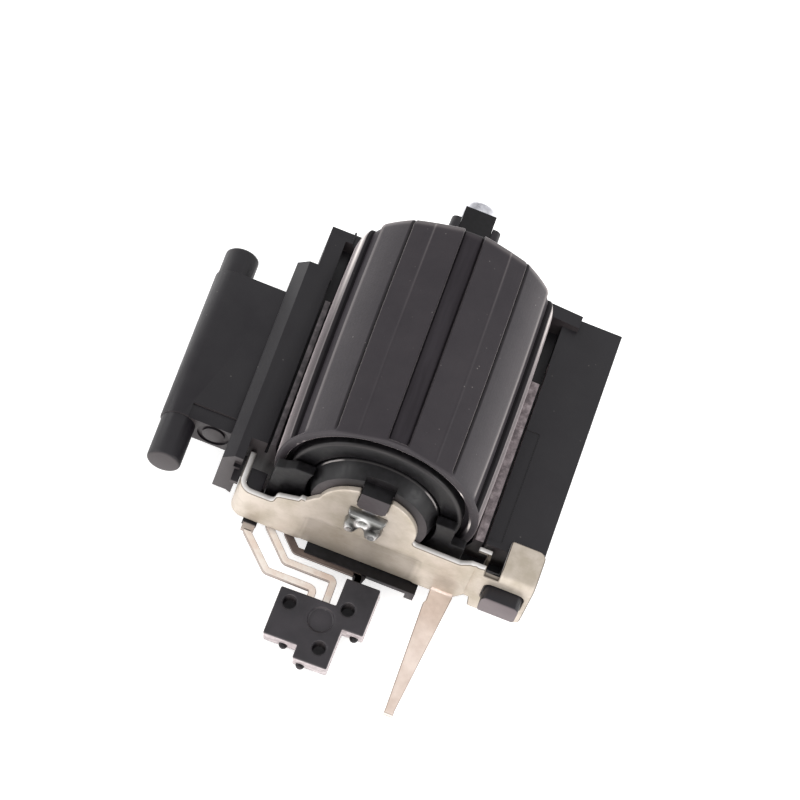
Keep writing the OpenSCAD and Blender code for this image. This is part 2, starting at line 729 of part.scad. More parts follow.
// The left block's front end, in front of the trough
module left_block_face()
    slab(block_front, block_front + 0.25)
    polygon([[-block_left, -block_low], [-block_left, -block_drop - block_chamfer],
             [-block_left + block_chamfer, -block_drop], [-inner_strip_left - 0.02, -block_drop],
             [-inner_strip_left - 0.02, -1.25], [-inner_strip_left - 0.35, -1.25],
             [-inner_strip_left - 0.35, -1.85], [-inner_strip_left - 0.02, -1.85],
             [-inner_strip_left - 0.02, -block_low]]);

// The right block's front end, which the plate's tab lies against
module right_block_face()
    difference() {
        block([tab_left + 0.97, plate_t + touch, -block_low], [block_right, block_front + 0.25, -block_drop]);
        // Room inside the bend of the fold
        block([tab_left, 0, -block_drop - 0.35], [block_right + 1, plate_t + 0.35, 0]);
    }

// The boss that locks the tab, with its front edges rounded
module boss()
    intersection() {
        slab(-boss_proud, plate_t + 0.4) polygon(rounded(boss_corners(0, 0.35), 6));
        translate([boss_x - boss_w, 0, boss_z]) rotate([90, 0, 90]) linear_extrude(2 * boss_w)
            polygon(rounded([[-boss_proud, -boss_h / 2, 0.18], [2, -boss_h / 2, 0], [2, boss_h / 2, 0],
                             [-boss_proud, boss_h / 2, 0.12]], 4));
    }

// The wall behind the roller, lower at the left
module rear_wall()
    slab(wall_front, frame_rear)
    difference() {
        polygon([[-inner_strip_left, -1.15], [-4.9, -1.15], [-4.2, -1.5], [4.0, -1.5], [4.9, -0.35],
                 [inner_strip_left + 0.1, -0.5], [inner_strip_left + 0.1, -block_drop],
                 [block_right - 0.2, -block_drop - tiny], [block_right - 0.2, -block_low + tiny],
                 [floor_half, -axis_h + tiny], [-floor_half, -axis_h + tiny],
                 [-inner_strip_left, -block_low + tiny]]);
        circle(r = rear_disc_r + 0.03, $fn = 96);
    }

// The forked post that holds the rear key
module rear_post()
    difference() {
        slab(post_front - 0.05, post_rear)
            polygon(rounded([[-post_w / 2, -axis_h + 1, 0], [post_w / 2, -axis_h + 1, 0],
                             [post_w / 2, post_top, 0.3], [-post_w / 2, post_top, 0.3]], 5));
        slab(post_front - 1, post_rear + 1)
            polygon([[-rear_key_w / 2 - key_gap, post_top + 1],
                     [-rear_key_w / 2 - key_gap, post_notch_floor],
                     [rear_key_w / 2 + key_gap, post_notch_floor],
                     [rear_key_w / 2 + key_gap, post_top + 1]]);
    }

// The arm beside the left block with the pivot pin along its outer edge
module pivot_arm()
    difference() {
        union() {
            slab(arm_front, arm_rear)
                polygon(concat([[-block_left + 0.2, -pin_drop - arm_t / 2]],
                               arc([-pin_x, -pin_drop], arm_t / 2, 270, 90, 12),
                               [[-block_left + 0.2, -pin_drop + arm_t / 2]]));
            pivot_pin();
        }
        // Shallow step along the top of the front end
        block([-pin_x + 0.35, arm_front - 1, -pin_drop + arm_t / 2 - 0.12],
              [-block_left - 0.02, arm_front + 0.8, 0]);
        // Ring mark on the front end
        along_y(arm_front - 1) translate([-block_left - 0.8, pin_drop, 0])
            difference() {
                cylinder(r = mark_r, h = 1.12);
                translate([0, 0, -1]) cylinder(r = mark_r - 0.24, h = 4);
            }
    }

// The pin that the whole unit rocks on, with rounded ends
module pivot_pin()
    translate([-pin_x, 0, -pin_drop])
    turned(concat([[0, pin_front]], arc([pin_r - 0.15, pin_front + 0.15], 0.15, 270, 360, 3),
                  arc([pin_r - 0.15, pin_rear - 0.15], 0.15, 0, 90, 3), [[0, pin_rear]]));

// The slots that part the thin lips from the blocks, and the lips' lowered rear ends
module lip_slots()
    for (side = [[-1, lip_left_w], [1, lip_right_w]]) {
        lip_w = side[1];
        slot_x = side[0] * (lip_inner + lip_w + lip_gap / 2);
        lip_x = side[0] * (lip_inner + lip_w / 2);
        block([slot_x - lip_gap / 2, block_front - 1, -block_drop - 0.9],
              [slot_x + lip_gap / 2, block_front + lip_len + 1, 1]);
        // The lip's rear end slopes down to the rear
        translate([lip_x - lip_w / 2 - 0.1, 0, -block_drop]) rotate([90, 0, 90]) linear_extrude(lip_w + 0.2)
            polygon([[block_front + lip_len - 0.3, 1], [block_front + lip_len - 0.3, 0.05],
                     [block_front + lip_len + 0.3, -0.9], [wall_front, -0.9], [wall_front, 1]]);
    }

// Leads and terminal block

lead_bend = 0.24;
// The middle of the common lead's flare and its half widths behind and in front
flare_x = 0.78;
flare_top = 0.36;
flare_low = 0.19;
// The three routes in X and Y, from under the hub's foot to the terminal block
route_a = [[-5.04, 0.8], [-5.04, -0.47], [-3.5, -2.13], [-1.06, -2.13], [-1.06, -3.3]];
route_b = [[-4.12, 0.8], [-4.12, 0.2], [-2.79, -1.28], [-0.28, -1.28], [-0.28, -3.3]];
route_common = [[-3.15, 0.8], [-3.15, 0.2], [-2.5, -0.52], [flare_x, -0.52], [flare_x, -1.75]];

module lead(route, gap = 0) color("#dccdc3")
    sheet(lead_low - gap, lead_high + gap)
    polygon(strip(soft_path(route, lead_bend), lead_w + 2 * gap));

module lead_a() lead(route_a);
module lead_b() lead(route_b);

// The common lead widens where it turns to the block
module lead_common() {
    lead(route_common);
    color("#6e5f5a") sheet(lead_low, lead_high)
        polygon([[flare_x - flare_top, -0.5], [flare_x + flare_top, -0.5],
                 [flare_x + flare_low, -1.0], [flare_x - flare_low, -1.0]]);
}

// Where the block's upper face meets the short lead, and the way the block is tilted there
term_x = 1.02;
term_y = -1.31;
term_z = lead_high + 0.69;
term_yaw = -2.4;
module term_place() translate([term_x, term_y, term_z]) rotate([term_fall, term_roll, term_yaw]) children();

term_inner = -0.79;
term_outer = 0.95;
term_notch_x = -0.1;
term_right_len = 2.48;
term_left_start = 1.47;
term_left_end = 3.98;
term_end = 4.64;
// The stepped outline of the block: the right part, the left part and the front part
function term_outline() =
    let (left = term_inner - term_left_w, front = term_notch_x - term_front_w)
    [[term_inner, 0, 0.08], [term_outer, 0, 0.08], [term_outer, -term_right_len, 0.08],
     [term_notch_x, -term_right_len, 0.06], [term_notch_x, -term_end, 0.08], [front, -term_end, 0.08],
     [front, -term_left_end, 0.06], [left, -term_left_end, 0.08], [left, -term_left_start, 0.08],
     [term_inner, -term_left_start, 0.06]];
// The middles of the three pockets and of the dimple
term_pockets = [[-2.93, -2.1], [-0.18, -1.48], [-0.8, -3.76]];
term_dimple = [-1.22, -2.39];

module terminal_block() color("#3a383b")
    difference() {
        term_place()
            difference() {
                translate([0, 0, -term_t]) linear_extrude(term_t) polygon(rounded(term_outline(), 3));
                for (p = term_pockets)
                    translate([p.x, p.y, -0.75]) cylinder(r = pocket_r, h = 1);
                translate([term_dimple.x, term_dimple.y, -0.08]) cylinder(r = dimple_r, h = 1);
            }
        for (route = [route_a, route_b, route_common]) lead(route, touch);
    }

seat() base_frame();
seat() front_plate();
seat() shaft();
seat() contact_hub();
seat() wiper_common();
seat() wiper_a();
seat() wiper_b();
seat() detent_spring();
seat() detent_ball();
seat() detent_ring();
seat() code_disc();
seat() code_pattern();
seat() roller_core();
seat() roller_sleeve();
seat() rear_hub();
seat() rear_washer();
seat() thrust_washer();
seat() lead_a();
seat() lead_b();
seat() lead_common();
seat() terminal_block();
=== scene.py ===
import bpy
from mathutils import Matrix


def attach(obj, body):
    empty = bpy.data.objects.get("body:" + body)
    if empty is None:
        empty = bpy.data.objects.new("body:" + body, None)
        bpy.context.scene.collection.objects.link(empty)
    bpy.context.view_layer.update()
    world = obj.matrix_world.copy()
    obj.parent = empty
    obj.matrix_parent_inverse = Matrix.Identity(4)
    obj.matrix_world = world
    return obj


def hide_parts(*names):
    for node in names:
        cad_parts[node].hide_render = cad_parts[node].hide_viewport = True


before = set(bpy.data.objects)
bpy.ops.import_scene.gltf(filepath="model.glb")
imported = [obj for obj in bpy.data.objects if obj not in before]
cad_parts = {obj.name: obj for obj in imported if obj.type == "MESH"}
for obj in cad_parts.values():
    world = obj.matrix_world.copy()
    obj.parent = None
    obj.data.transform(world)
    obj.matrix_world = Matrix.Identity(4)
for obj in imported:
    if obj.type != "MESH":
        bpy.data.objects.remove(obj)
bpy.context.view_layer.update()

import math

import bmesh
import bpy
import numpy as np
from mathutils import Matrix, Vector
from mathutils.geometry import delaunay_2d_cdt

bl_info = {
    "name": "Thumb Roller Encoder",
    "version": (1, 0, 0),
    "blender": (4, 5, 0),
    "location": "3D View > Sidebar > Encoder",
    "description": "Detailed pieces, finishes, stage and camera for a thumb roller encoder",
    "category": "Add Mesh",
}

MM = 0.001
# The plate frame has its origin on the roller's axis at the end plate's front face
SEAT = np.array([0.0, -7.8, 6.0])
# Boxes in the plate frame, as low and high corners: the thin lips beside the roller and the boss's end
LEFT_LIP = ((-5.72, 0.9, -3.2), (-4.6, 14.2, -0.85))
RIGHT_LIP = ((4.6, 0.9, -3.2), (5.86, 14.2, -0.85))
BOSS = ((6.3, -1.5, -3.3), (8.6, 0.05, -1.4))


# Colours and shader nodes


def rgb(hex_code):
    """An sRGB hex colour as three display values."""
    return [int(hex_code[i : i + 2], 16) / 255 for i in (1, 3, 5)]


def linear(hex_code):
    """An sRGB hex colour as linear RGBA: values up to 0.04045 are divided by 12.92, the others follow
    ((value + 0.055) / 1.055) ** 2.4."""
    c = np.array(rgb(hex_code))
    c = np.where(c <= 0.04045, c / 12.92, ((c + 0.055) / 1.055) ** 2.4)
    return (*c.tolist(), 1.0)


def per_mm(size):
    """The texture scale whose features are about size millimetres apart on Object coordinates in metres."""
    return 1.0 / (size * MM)


def add(tree, kind, links=None, stops=None, **settings):
    """Adds a node. settings are its properties, links its sockets' values or the sockets that feed them,
    and stops the places and colours of a ramp."""
    made = tree.nodes.new(kind)
    for name, value in settings.items():
        setattr(made, name, value)
    for socket, value in (links or {}).items():
        if isinstance(value, bpy.types.NodeSocket):
            tree.links.new(value, made.inputs[socket])
        else:
            made.inputs[socket].default_value = value
    for i, (place, colour) in enumerate(stops or []):
        stop = made.color_ramp.elements[i] if i < 2 else made.color_ramp.elements.new(place)
        stop.position, stop.color = place, colour
    return made


def new_material(name, **shader_values):
    """A material with an output and a Principled shader whose plain sockets hold the given values."""
    material = bpy.data.materials.new(name)
    material.use_nodes = True
    tree = material.node_tree
    tree.nodes.clear()
    plain = {socket.replace("_", " "): value for socket, value in shader_values.items()}
    shader = add(tree, "ShaderNodeBsdfPrincipled", plain)
    add(tree, "ShaderNodeOutputMaterial", {"Surface": shader.outputs[0]})
    return material, tree, shader


# Meshes


def step(x):
    """A smooth step from 0 to 1, x * x * (3 - 2 * x), with x held between 0 and 1."""
    x = np.clip(x, 0, 1)
    return x * x * (3 - 2 * x)


def bell(distance, width):
    """exp(-(distance / width) ** 2), which is 1 at no distance and about a third at one width."""
    return np.exp(-((distance / width) ** 2))


def seat(points):
    """Points in the plate frame in millimetres, moved onto the row frame's origin and given in metres."""
    return (np.asarray(points, float) + SEAT) * MM


def points_of(mesh):
    """A mesh's points in the plate frame in millimetres, the reverse of seat()."""
    points = np.empty(len(mesh.vertices) * 3)
    mesh.vertices.foreach_get("co", points)
    return points.reshape(-1, 3) / MM - SEAT


def grid_faces(rows, cols, wrap=False, start=0):
    """Quads between neighbouring rows and columns of points; wrap joins the last column to the first."""
    r = np.arange(rows - 1)[:, None] * cols
    c = np.arange(cols if wrap else cols - 1)[None, :]
    d = (c + 1) % cols
    return (start + np.stack([r + c, r + d, r + cols + d, r + cols + c], -1)).reshape(-1, 4)


def fillet(corners, steps=6):
    """A closed outline from corners (x, y, radius): each corner becomes an arc about the point that lies
    radius / sin(half the corner's angle) along its bisector; a zero radius keeps the corner sharp."""
    c = np.asarray(corners, float)
    p, r = c[:, :2], c[:, 2]
    back, ahead = np.roll(p, 1, 0) - p, np.roll(p, -1, 0) - p
    back /= np.linalg.norm(back, axis=1)[:, None]
    ahead /= np.linalg.norm(ahead, axis=1)[:, None]
    half = np.arccos(np.clip((back * ahead).sum(1), -1, 1)) / 2
    middle = back + ahead
    middle /= np.maximum(np.linalg.norm(middle, axis=1), 1e-9)[:, None]
    centre = p + middle * (r / np.maximum(np.sin(half), 1e-6))[:, None]
    first = p + back * (r / np.tan(half))[:, None] - centre
    last = p + ahead * (r / np.tan(half))[:, None] - centre
    a0, a1 = np.arctan2(first[:, 1], first[:, 0]), np.arctan2(last[:, 1], last[:, 0])
    sweep = (a1 - a0 + np.pi) % (2 * np.pi) - np.pi
    a = a0[:, None] + sweep[:, None] * np.linspace(0, 1, steps + 1)[None, :]
    arcs = centre[:, None, :] + r[:, None, None] * np.stack([np.cos(a), np.sin(a)], -1)
    points = np.where((r > 0)[:, None, None], arcs, p[:, None, :]).reshape(-1, 2)
    return points[np.linalg.norm(points - np.roll(points, 1, 0), axis=1) > 1e-4]


def arc_points(centre, radius, start, end, steps):
    """Sharp corners (x, y, 0) along a circle's arc, from the start angle to the end angle in degrees."""
    a = np.radians(np.linspace(start, end, steps))
    return np.stack([centre[0] + radius * np.cos(a), centre[1] + radius * np.sin(a), 0 * a], -1)


def circle_ring(centre, radius, steps=40):
    """Points round a circle."""
    a = np.linspace(0, 2 * np.pi, steps, endpoint=False)
    return np.stack([centre[0] + radius * np.cos(a), centre[1] + radius * np.sin(a)], -1)


def resample(ring, longest):
    """The same closed outline with extra points, so that no side is longer than longest."""
    closed = np.vstack([ring, ring[:1]])
    length = np.linalg.norm(np.diff(closed, axis=0), axis=1)
    run = np.concatenate([[0], np.cumsum(length)])
    parts = np.maximum(np.ceil(length / longest - 1e-6), 1).astype(int)
    side = np.repeat(np.arange(len(parts)), parts)
    along = np.arange(len(side)) - np.repeat(np.cumsum(parts) - parts, parts)
    at = run[side] + length[side] * along / parts[side]
    return np.stack([np.interp(at, run, closed[:, k]) for k in (0, 1)], -1)


def area_of(ring):
    """Twice the signed area of a closed outline, positive where it runs anticlockwise."""
    nxt = np.roll(ring, -1, 0)
    return float((ring[:, 0] * nxt[:, 1] - nxt[:, 0] * ring[:, 1]).sum())


def inset(ring, distance):
    """A closed outline moved to its left by distance: each point goes along the mitre of its two sides."""
    ahead = np.roll(ring, -1, 0) - ring
    ahead /= np.maximum(np.linalg.norm(ahead, axis=1), 1e-9)[:, None]
    left = np.stack([-ahead[:, 1], ahead[:, 0]], -1)
    before = np.roll(left, 1, 0)
    mitre = (left + before) / np.maximum(1 + (left * before).sum(1), 0.35)[:, None]
    return ring + mitre * distance


def inside(points, rings):
    """True for each point within an odd number of the outlines, counted by the sides to its right."""
    hits = np.zeros(len(points), int)
    for ring in rings:
        a, b = ring[None], np.roll(ring, -1, 0)[None]
        p = points[:, None]
        spans = (a[..., 1] > p[..., 1]) != (b[..., 1] > p[..., 1])
        rise = np.where(np.abs(b[..., 1] - a[..., 1]) < 1e-12, 1e-12, b[..., 1] - a[..., 1])
        cut = a[..., 0] + (p[..., 1] - a[..., 1]) * (b[..., 0] - a[..., 0]) / rise
        hits += (spans & (p[..., 0] < cut)).sum(1)
    return hits % 2 == 1


def fill(rings, spacing, extra=None):
    """Triangles that fill the outlines, with inner points on a square grid and the extra points too."""
    edge = np.vstack(rings)
    low, high = edge.min(0), edge.max(0)
    gx, gy = [np.arange(low[k] + spacing / 2, high[k], spacing) for k in (0, 1)]
    free = np.stack(np.meshgrid(gx, gy), -1).reshape(-1, 2)
    if extra is not None:
        far = np.linalg.norm(free[:, None] - extra[None], axis=2).min(1) > spacing * 0.6
        free = np.vstack([free[far], extra])
    near = np.linalg.norm(free[:, None] - edge[None], axis=2).min(1)
    free = free[inside(free, rings) & (near > spacing * 0.35)]
    sides, start = [], 0
    for ring in rings:
        k = np.arange(len(ring))
        sides.append(np.stack([start + k, start + (k + 1) % len(ring)], -1))
        start += len(ring)
    flat = [Vector(p) for p in np.vstack([edge, free]).tolist()]
    made = delaunay_2d_cdt(flat, np.vstack(sides).tolist(), [], 0, 1e-7)
    points, faces = np.array([tuple(p) for p in made[0]]), np.array(made[2])
    return points, faces[inside(points[faces].mean(1), rings)]


# Edge marks of a sheet's rings, from its front face round the edge to its rear face
# A sheared edge: a painted shade line at the front corner, then a painted highlight on the wall behind it
SHEARED_LIT_EDGE = (0, -0.5, -0.25, 0.7, 1, 1, 0.6, 0.35, 0.3, 0.3, 0.3, 0.2, 0)
# A block's side wall left to its painted pale reflection, between rounded edges that keep the dark moulding
PALE_WALL_ONLY = (0, 1, 1, 1, 1, 0, 0, 0, 1, 1, 1, 1, 0)
PLAIN = (0,) * 13
# Painted shade all round the edge
SHADED = (0, -0.5, -1, -1, -1, -1, -1, -1, -1, -1, -1, -0.5, 0)


def facing_front(front):
    """The placing of a flat sheet that looks to the front from that depth behind the plate's face."""
    return lambda u, v, depth: np.stack([u, front + depth, v], -1)


def lying_flat(top):
    """The placing of a flat sheet that lies with its upper face at that height."""
    return lambda u, v, depth: np.stack([u, v, top - depth], -1)


def sheet_shell(outer, holes, thick, edge, place, spacing=0.2, longest=0.12, extra=None, mark=SHEARED_LIT_EDGE):
    """A closed sheet with rounded edges. Its outline's rings step inwards by edge * (1 - sin a) and in
    depth by edge * (1 - cos a) at both faces, fill() closes the faces, and place(u, v, depth) bends it
    into its place. spacing is that of the faces' inner points, longest that of the outline's, and mark
    each ring's edge mark."""
    rings = []
    for ring in [outer, *holes]:
        ring = resample(ring, longest)
        anticlockwise = area_of(ring) > 0
        rings.append(ring if anticlockwise == (len(rings) == 0) else ring[::-1])
    a = np.radians([0, 22.5, 45, 67.5, 90])
    turn = np.stack([edge * (1 - np.sin(a)), edge * (1 - np.cos(a))], -1)
    flat = 0.08 * (thick - 2 * edge)
    wall = np.array([[0, edge + flat], [0, thick / 2], [0, thick - edge - flat]])
    levels = np.concatenate([turn, wall, (turn * [1, -1] + [0, thick])[::-1]])
    marks, start, verts, faces = [], 0, [], []
    for ring in rings:
        rows = np.stack([np.column_stack([inset(ring, s), np.full(len(ring), d)]) for s, d in levels])
        faces += grid_faces(len(levels), len(ring), True, start).tolist()
        verts.append(rows.reshape(-1, 3))
        marks.append(np.repeat(np.array(mark, float), len(ring)))
        start += rows.shape[0] * rows.shape[1]
    points, triangles = fill([inset(ring, edge) for ring in rings], spacing, extra)
    for depth in (0.0, thick):
        verts.append(np.column_stack([points, np.full(len(points), depth)]))
        marks.append(np.zeros(len(points)))
        faces += (triangles + start).tolist()
        start += len(points)
    all_points = np.vstack(verts)
    return place(all_points[:, 0], all_points[:, 1], all_points[:, 2]), faces, np.concatenate(marks)


def turned_shell(profile, steps, closed=True):
    """A solid of revolution about the roller's axis: profile rows are (radius, depth)."""
    p = np.asarray(profile, float)
    a = np.linspace(0, 2 * np.pi, steps, endpoint=False)
    x = p[:, :1] * np.sin(a)[None]
    z = p[:, :1] * np.cos(a)[None]
    y = np.repeat(p[:, 1:2], steps, 1)
    verts = np.stack([x, y, z], -1)
    if closed:
        verts = np.concatenate([verts, verts[:1]])
    rows = len(verts)
    return verts.reshape(-1, 3), grid_faces(rows, steps, True).tolist(), np.zeros(rows * steps)


def make_piece(name, shells, materials, body, replaced=(), smooth=32):
    """Joins closed shells (points, faces, edge marks, and a material number where it isn't 0) into one mesh.
    Doubles are merged and normals turned outwards, and the marks are kept as the point attribute edge."""
    verts, faces, marks, slots, start = [], [], [], [], 0
    for shell in shells:
        points, shell_faces, mark = shell[:3]
        number = shell[3] if len(shell) > 3 else 0
        verts.append(seat(points))
        faces += [[i + start for i in face] for face in shell_faces]
        slots.append(np.broadcast_to(number, len(shell_faces)))
        marks.append(mark)
        start += len(points)
    mesh = bpy.data.meshes.new(name)
    mesh.from_pydata(np.vstack(verts).tolist(), [], faces)
    edge = mesh.attributes.new("edge", "FLOAT", "POINT")
    edge.data.foreach_set("value", np.concatenate(marks).astype(np.float32))
    mesh.polygons.foreach_set("material_index", np.concatenate(slots).astype(np.int32))
    solid = bmesh.new()
    solid.from_mesh(mesh)
    bmesh.ops.remove_doubles(solid, verts=solid.verts, dist=2e-7)
    bmesh.ops.dissolve_degenerate(solid, edges=solid.edges, dist=1e-8)
    bmesh.ops.recalc_face_normals(solid, faces=solid.faces)
    solid.to_mesh(mesh)
    solid.free()
    for material in materials:
        mesh.materials.append(material)
    mesh.shade_smooth()
    mesh.set_sharp_from_angle(angle=math.radians(smooth))
    return enter(bpy.data.objects.new(name, mesh), body, replaced)


def enter(piece, body, replaced=()):
    """Links a finished piece to the scene, lets it ride on its body and hides the CAD nodes it stands for."""
    bpy.context.scene.collection.objects.link(piece)
    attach(piece, body)
    if replaced:
        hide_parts(*replaced)
    return piece


def bevelled_copy(node, name, material, width, patches=()):
    """A merged copy of a CAD node's mesh on the frame body, with coplanar faces joined and its sharp edges
    bevelled. A patch is a material and a box in the plate frame: faces with all their corners in the box
    take that material."""
    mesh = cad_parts[node].data.copy()
    mesh.name = name
    mesh.materials.clear()
    for kind in (material, *[patch for patch, _ in patches]):
        mesh.materials.append(kind)
    solid = bmesh.new()
    solid.from_mesh(mesh)
    bmesh.ops.remove_doubles(solid, verts=solid.verts, dist=2e-7)
    bmesh.ops.dissolve_degenerate(solid, edges=solid.edges, dist=1e-7)
    bmesh.ops.dissolve_limit(solid, angle_limit=math.radians(1.5), verts=solid.verts, edges=solid.edges)
    bmesh.ops.recalc_face_normals(solid, faces=solid.faces)
    solid.to_mesh(mesh)
    solid.free()
    points = points_of(mesh)
    corners, starts = np.empty(len(mesh.loops), np.int32), np.empty(len(mesh.polygons), np.int32)
    mesh.loops.foreach_get("vertex_index", corners)
    mesh.polygons.foreach_get("loop_start", starts)
    number = np.zeros(len(starts), np.int32)
    for k, (patch, (low, high)) in enumerate(patches):
        held = ((points > low) & (points < high)).all(1)
        number[np.logical_and.reduceat(held[corners], starts)] = k + 1
    mesh.polygons.foreach_set("material_index", number)
    mesh.shade_smooth()
    piece = enter(bpy.data.objects.new(name, mesh), "frame", (node,))
    bevel = piece.modifiers.new("rounded edges", "BEVEL")
    bevel.width = width * MM
    bevel.segments = 2
    bevel.limit_method = "ANGLE"
    bevel.angle_limit = math.radians(40)
    bevel.use_clamp_overlap = True
    bevel.harden_normals = True
    bevel.loop_slide = False
    return piece


def finish_node(node, material):
    """Gives a CAD node that stays in view its material."""
    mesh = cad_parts[node].data
    mesh.materials.clear()
    mesh.materials.append(material)


# Finishes


def wire(tree, shader, **sockets):
    """Feeds the shader's sockets, named with _ for a space, from other nodes' outputs."""
    for name, output in sockets.items():
        tree.links.new(output, shader.inputs[name.replace("_", " ")])


def coordinates(tree, kind="Object"):
    """Each point's place on its object, or with kind Normal the way its face looks."""
    return add(tree, "ShaderNodeTexCoord").outputs[kind]


def axes(tree, vector):
    """A vector's X, Y and Z."""
    return add(tree, "ShaderNodeSeparateXYZ", {"Vector": vector}).outputs


def drawn(tree, place, scale):
    """The place with each axis scaled, which draws a texture out along an axis whose scale is below 1."""
    return add(tree, "ShaderNodeMapping", {"Vector": place, "Scale": scale}).outputs[0]


def noise(tree, place, size, detail, roughness=0.5):
    """Cloudy noise whose features are about size millimetres apart."""
    return add(tree, "ShaderNodeTexNoise", {"Vector": place, "Scale": per_mm(size), "Detail": detail,
                                            "Roughness": roughness}).outputs[0]


def remap(tree, value, low, high, to_low=0.0, to_high=1.0):
    """The value with its range from low to high laid over to_low to to_high, and held at both ends."""
    return add(tree, "ShaderNodeMapRange", {"Value": value, "From Min": low, "From Max": high,
                                            "To Min": to_low, "To Max": to_high}).outputs[0]


def dust(tree, place, size, reach, most):
    """Specks about size millimetres apart, as strong as most, that fade out at reach times that far."""
    specks = add(tree, "ShaderNodeTexVoronoi", {"Vector": place, "Scale": per_mm(size)})
    return remap(tree, specks.outputs["Distance"], 0.03, reach, most, 0.0)


def ramp(tree, value, *stops):
    """The colour for a value between stops, each a place with an sRGB hex colour or a linear grey."""
    colours = [(place, linear(tone) if isinstance(tone, str) else (tone, tone, tone, 1))
               for place, tone in stops]
    return add(tree, "ShaderNodeValToRGB", {"Fac": value}, colours).outputs["Color"]


def blend(tree, share, first, second):
    """The first colour with the second one laid over it by share."""
    return add(tree, "ShaderNodeMix", {0: share, 6: first, 7: second}, data_type="RGBA").outputs[2]


def maths(tree, operation, *values, **settings):
    """The result of a sum on values or sockets."""
    return add(tree, "ShaderNodeMath", dict(enumerate(values)), operation=operation, **settings).outputs[0]


def dents(tree, height, strength, deep):
    """Normals bent as a height field deep millimetres deep would bend them."""
    return add(tree, "ShaderNodeBump", {"Height": height, "Strength": strength,
                                        "Distance": deep * MM}).outputs[0]


def edge_mark(tree):
    """The point attribute edge, which make_piece() writes."""
    return add(tree, "ShaderNodeAttribute", attribute_name="edge").outputs["Fac"]


def edge_tones(tree, colour, dark, grey, bright, reach=3.0):
    """The colour with the piece's edge marks laid over it, which are mostly painted light: below zero it goes
    to the dark colour as painted shade, above zero through grey to bright as a painted highlight, and it is
    covered in full once a mark is 1 / reach away from zero."""
    edge = edge_mark(tree)
    tones = ramp(tree, remap(tree, edge, -1.0, 1.0), (0.47, dark), (0.53, grey), (0.95, bright))
    share = maths(tree, "MULTIPLY", maths(tree, "ABSOLUTE", edge), reach, use_clamp=True)
    return blend(tree, share, colour, tones)


def front_faces(tree):
    """1 on faces that look towards the end plate's side, 0 on those turned 53 degrees away or more."""
    return remap(tree, axes(tree, coordinates(tree, "Normal"))["Y"], -0.6, -0.93)


def spark_eroded_nylon(name, tone, lit_front_tone):
    """Glass-filled nylon out of a spark-eroded mould: a fine pitted grain that scatters highlights, faint
    flow clouds and a few specks of dust. The faces towards the end plate are painted paler, a painted
    reflection of the bright floor before them. The real pits are about 0.02 mm and are drawn at 0.09 mm to
    show."""
    material, tree, shader = new_material(name, IOR=1.5, Specular_IOR_Level=0.4)
    place = coordinates(tree)
    pits = noise(tree, place, 0.09, 3.0, 0.6)
    cloud = noise(tree, place, 2.6, 4.0, 0.55)
    tint = ramp(tree, cloud, (0.3, tone), (0.72, "#211f22"))
    # Painted reflection: faces towards the end plate are paled to the front tone, standing in for the bright
    # floor they mirror
    cut = maths(tree, "MULTIPLY", front_faces(tree), remap(tree, cloud, 0.3, 0.7, 0.7, 1.0))
    face = blend(tree, cut, tint, linear(lit_front_tone))
    colour = blend(tree, dust(tree, place, 0.9, 0.06, 0.2), face, linear("#8d8883"))
    wire(tree, shader, Base_Color=colour, Roughness=remap(tree, cloud, 0.3, 0.7, 0.4, 0.52),
         Normal=dents(tree, pits, 0.2, 0.02))
    return material


# In the row frame in millimetres: the hub's shoulder, which carries a painted highlight, and half the line's
# width, where the painted reflection on its end faces starts and where it is in full, and the distance from
# the axis at which the ramps across it end
SHOULDER_Y, SHOULDER_HALF = -6.62, 0.04
END_FACE_Y = (-7.2, -7.4)
HUB_ACROSS = 4.0


def polished_acetal(tone):
    """Acetal out of a polished mould, dulled by handling: almost black, with faint ripples that bend
    reflections, a painted highlight along the hub's shoulder, stronger on both flanks, front faces by the
    plate painted paler as a painted reflection, and painted highlights from the drum rim's edge marks."""
    material, tree, shader = new_material("polished_acetal", IOR=1.48, Specular_IOR_Level=0.3)
    place = coordinates(tree)
    ripple = noise(tree, place, 0.9, 2.0)
    haze = noise(tree, place, 0.25, 3.0)
    tint = ramp(tree, haze, (0.35, tone), (0.75, "#171518"))
    at = axes(tree, place)
    across = maths(tree, "DIVIDE", maths(tree, "ABSOLUTE", at["X"]), HUB_ACROSS * MM)
    # Painted highlight: a thin line round the hub's shoulder, stronger on both flanks
    line = maths(tree, "COMPARE", at["Y"], SHOULDER_Y * MM, SHOULDER_HALF * MM)
    flanks = ramp(tree, across, (0.5, 0.08), (0.56, 0.8), (0.7, 0.8), (0.74, 0.0))
    shoulder_highlight = maths(tree, "MULTIPLY", line, flanks)
    # Painted reflection: front faces near the plate are paled, most on the key and beyond the cheeks
    near = remap(tree, at["Y"], END_FACE_Y[0] * MM, END_FACE_Y[1] * MM)
    key_and_cheeks = ramp(tree, across, (0.18, 1.0), (0.2, 0.15), (0.4, 0.15), (0.6, 0.8))
    painted_front_share = maths(tree, "MULTIPLY", maths(tree, "MULTIPLY", front_faces(tree), near), key_and_cheeks)
    front = blend(tree, painted_front_share, tint, linear("#3f393b"))
    burnished = blend(tree, shoulder_highlight, front, linear("#a9a3a1"))
    colour = edge_tones(tree, burnished, "#080708", "#6b6565", "#d9d2ce", 1.0)
    wire(tree, shader, Base_Color=colour, Roughness=remap(tree, haze, 0.35, 0.7, 0.36, 0.5),
         Normal=dents(tree, ripple, 0.25, 0.02))
    return material


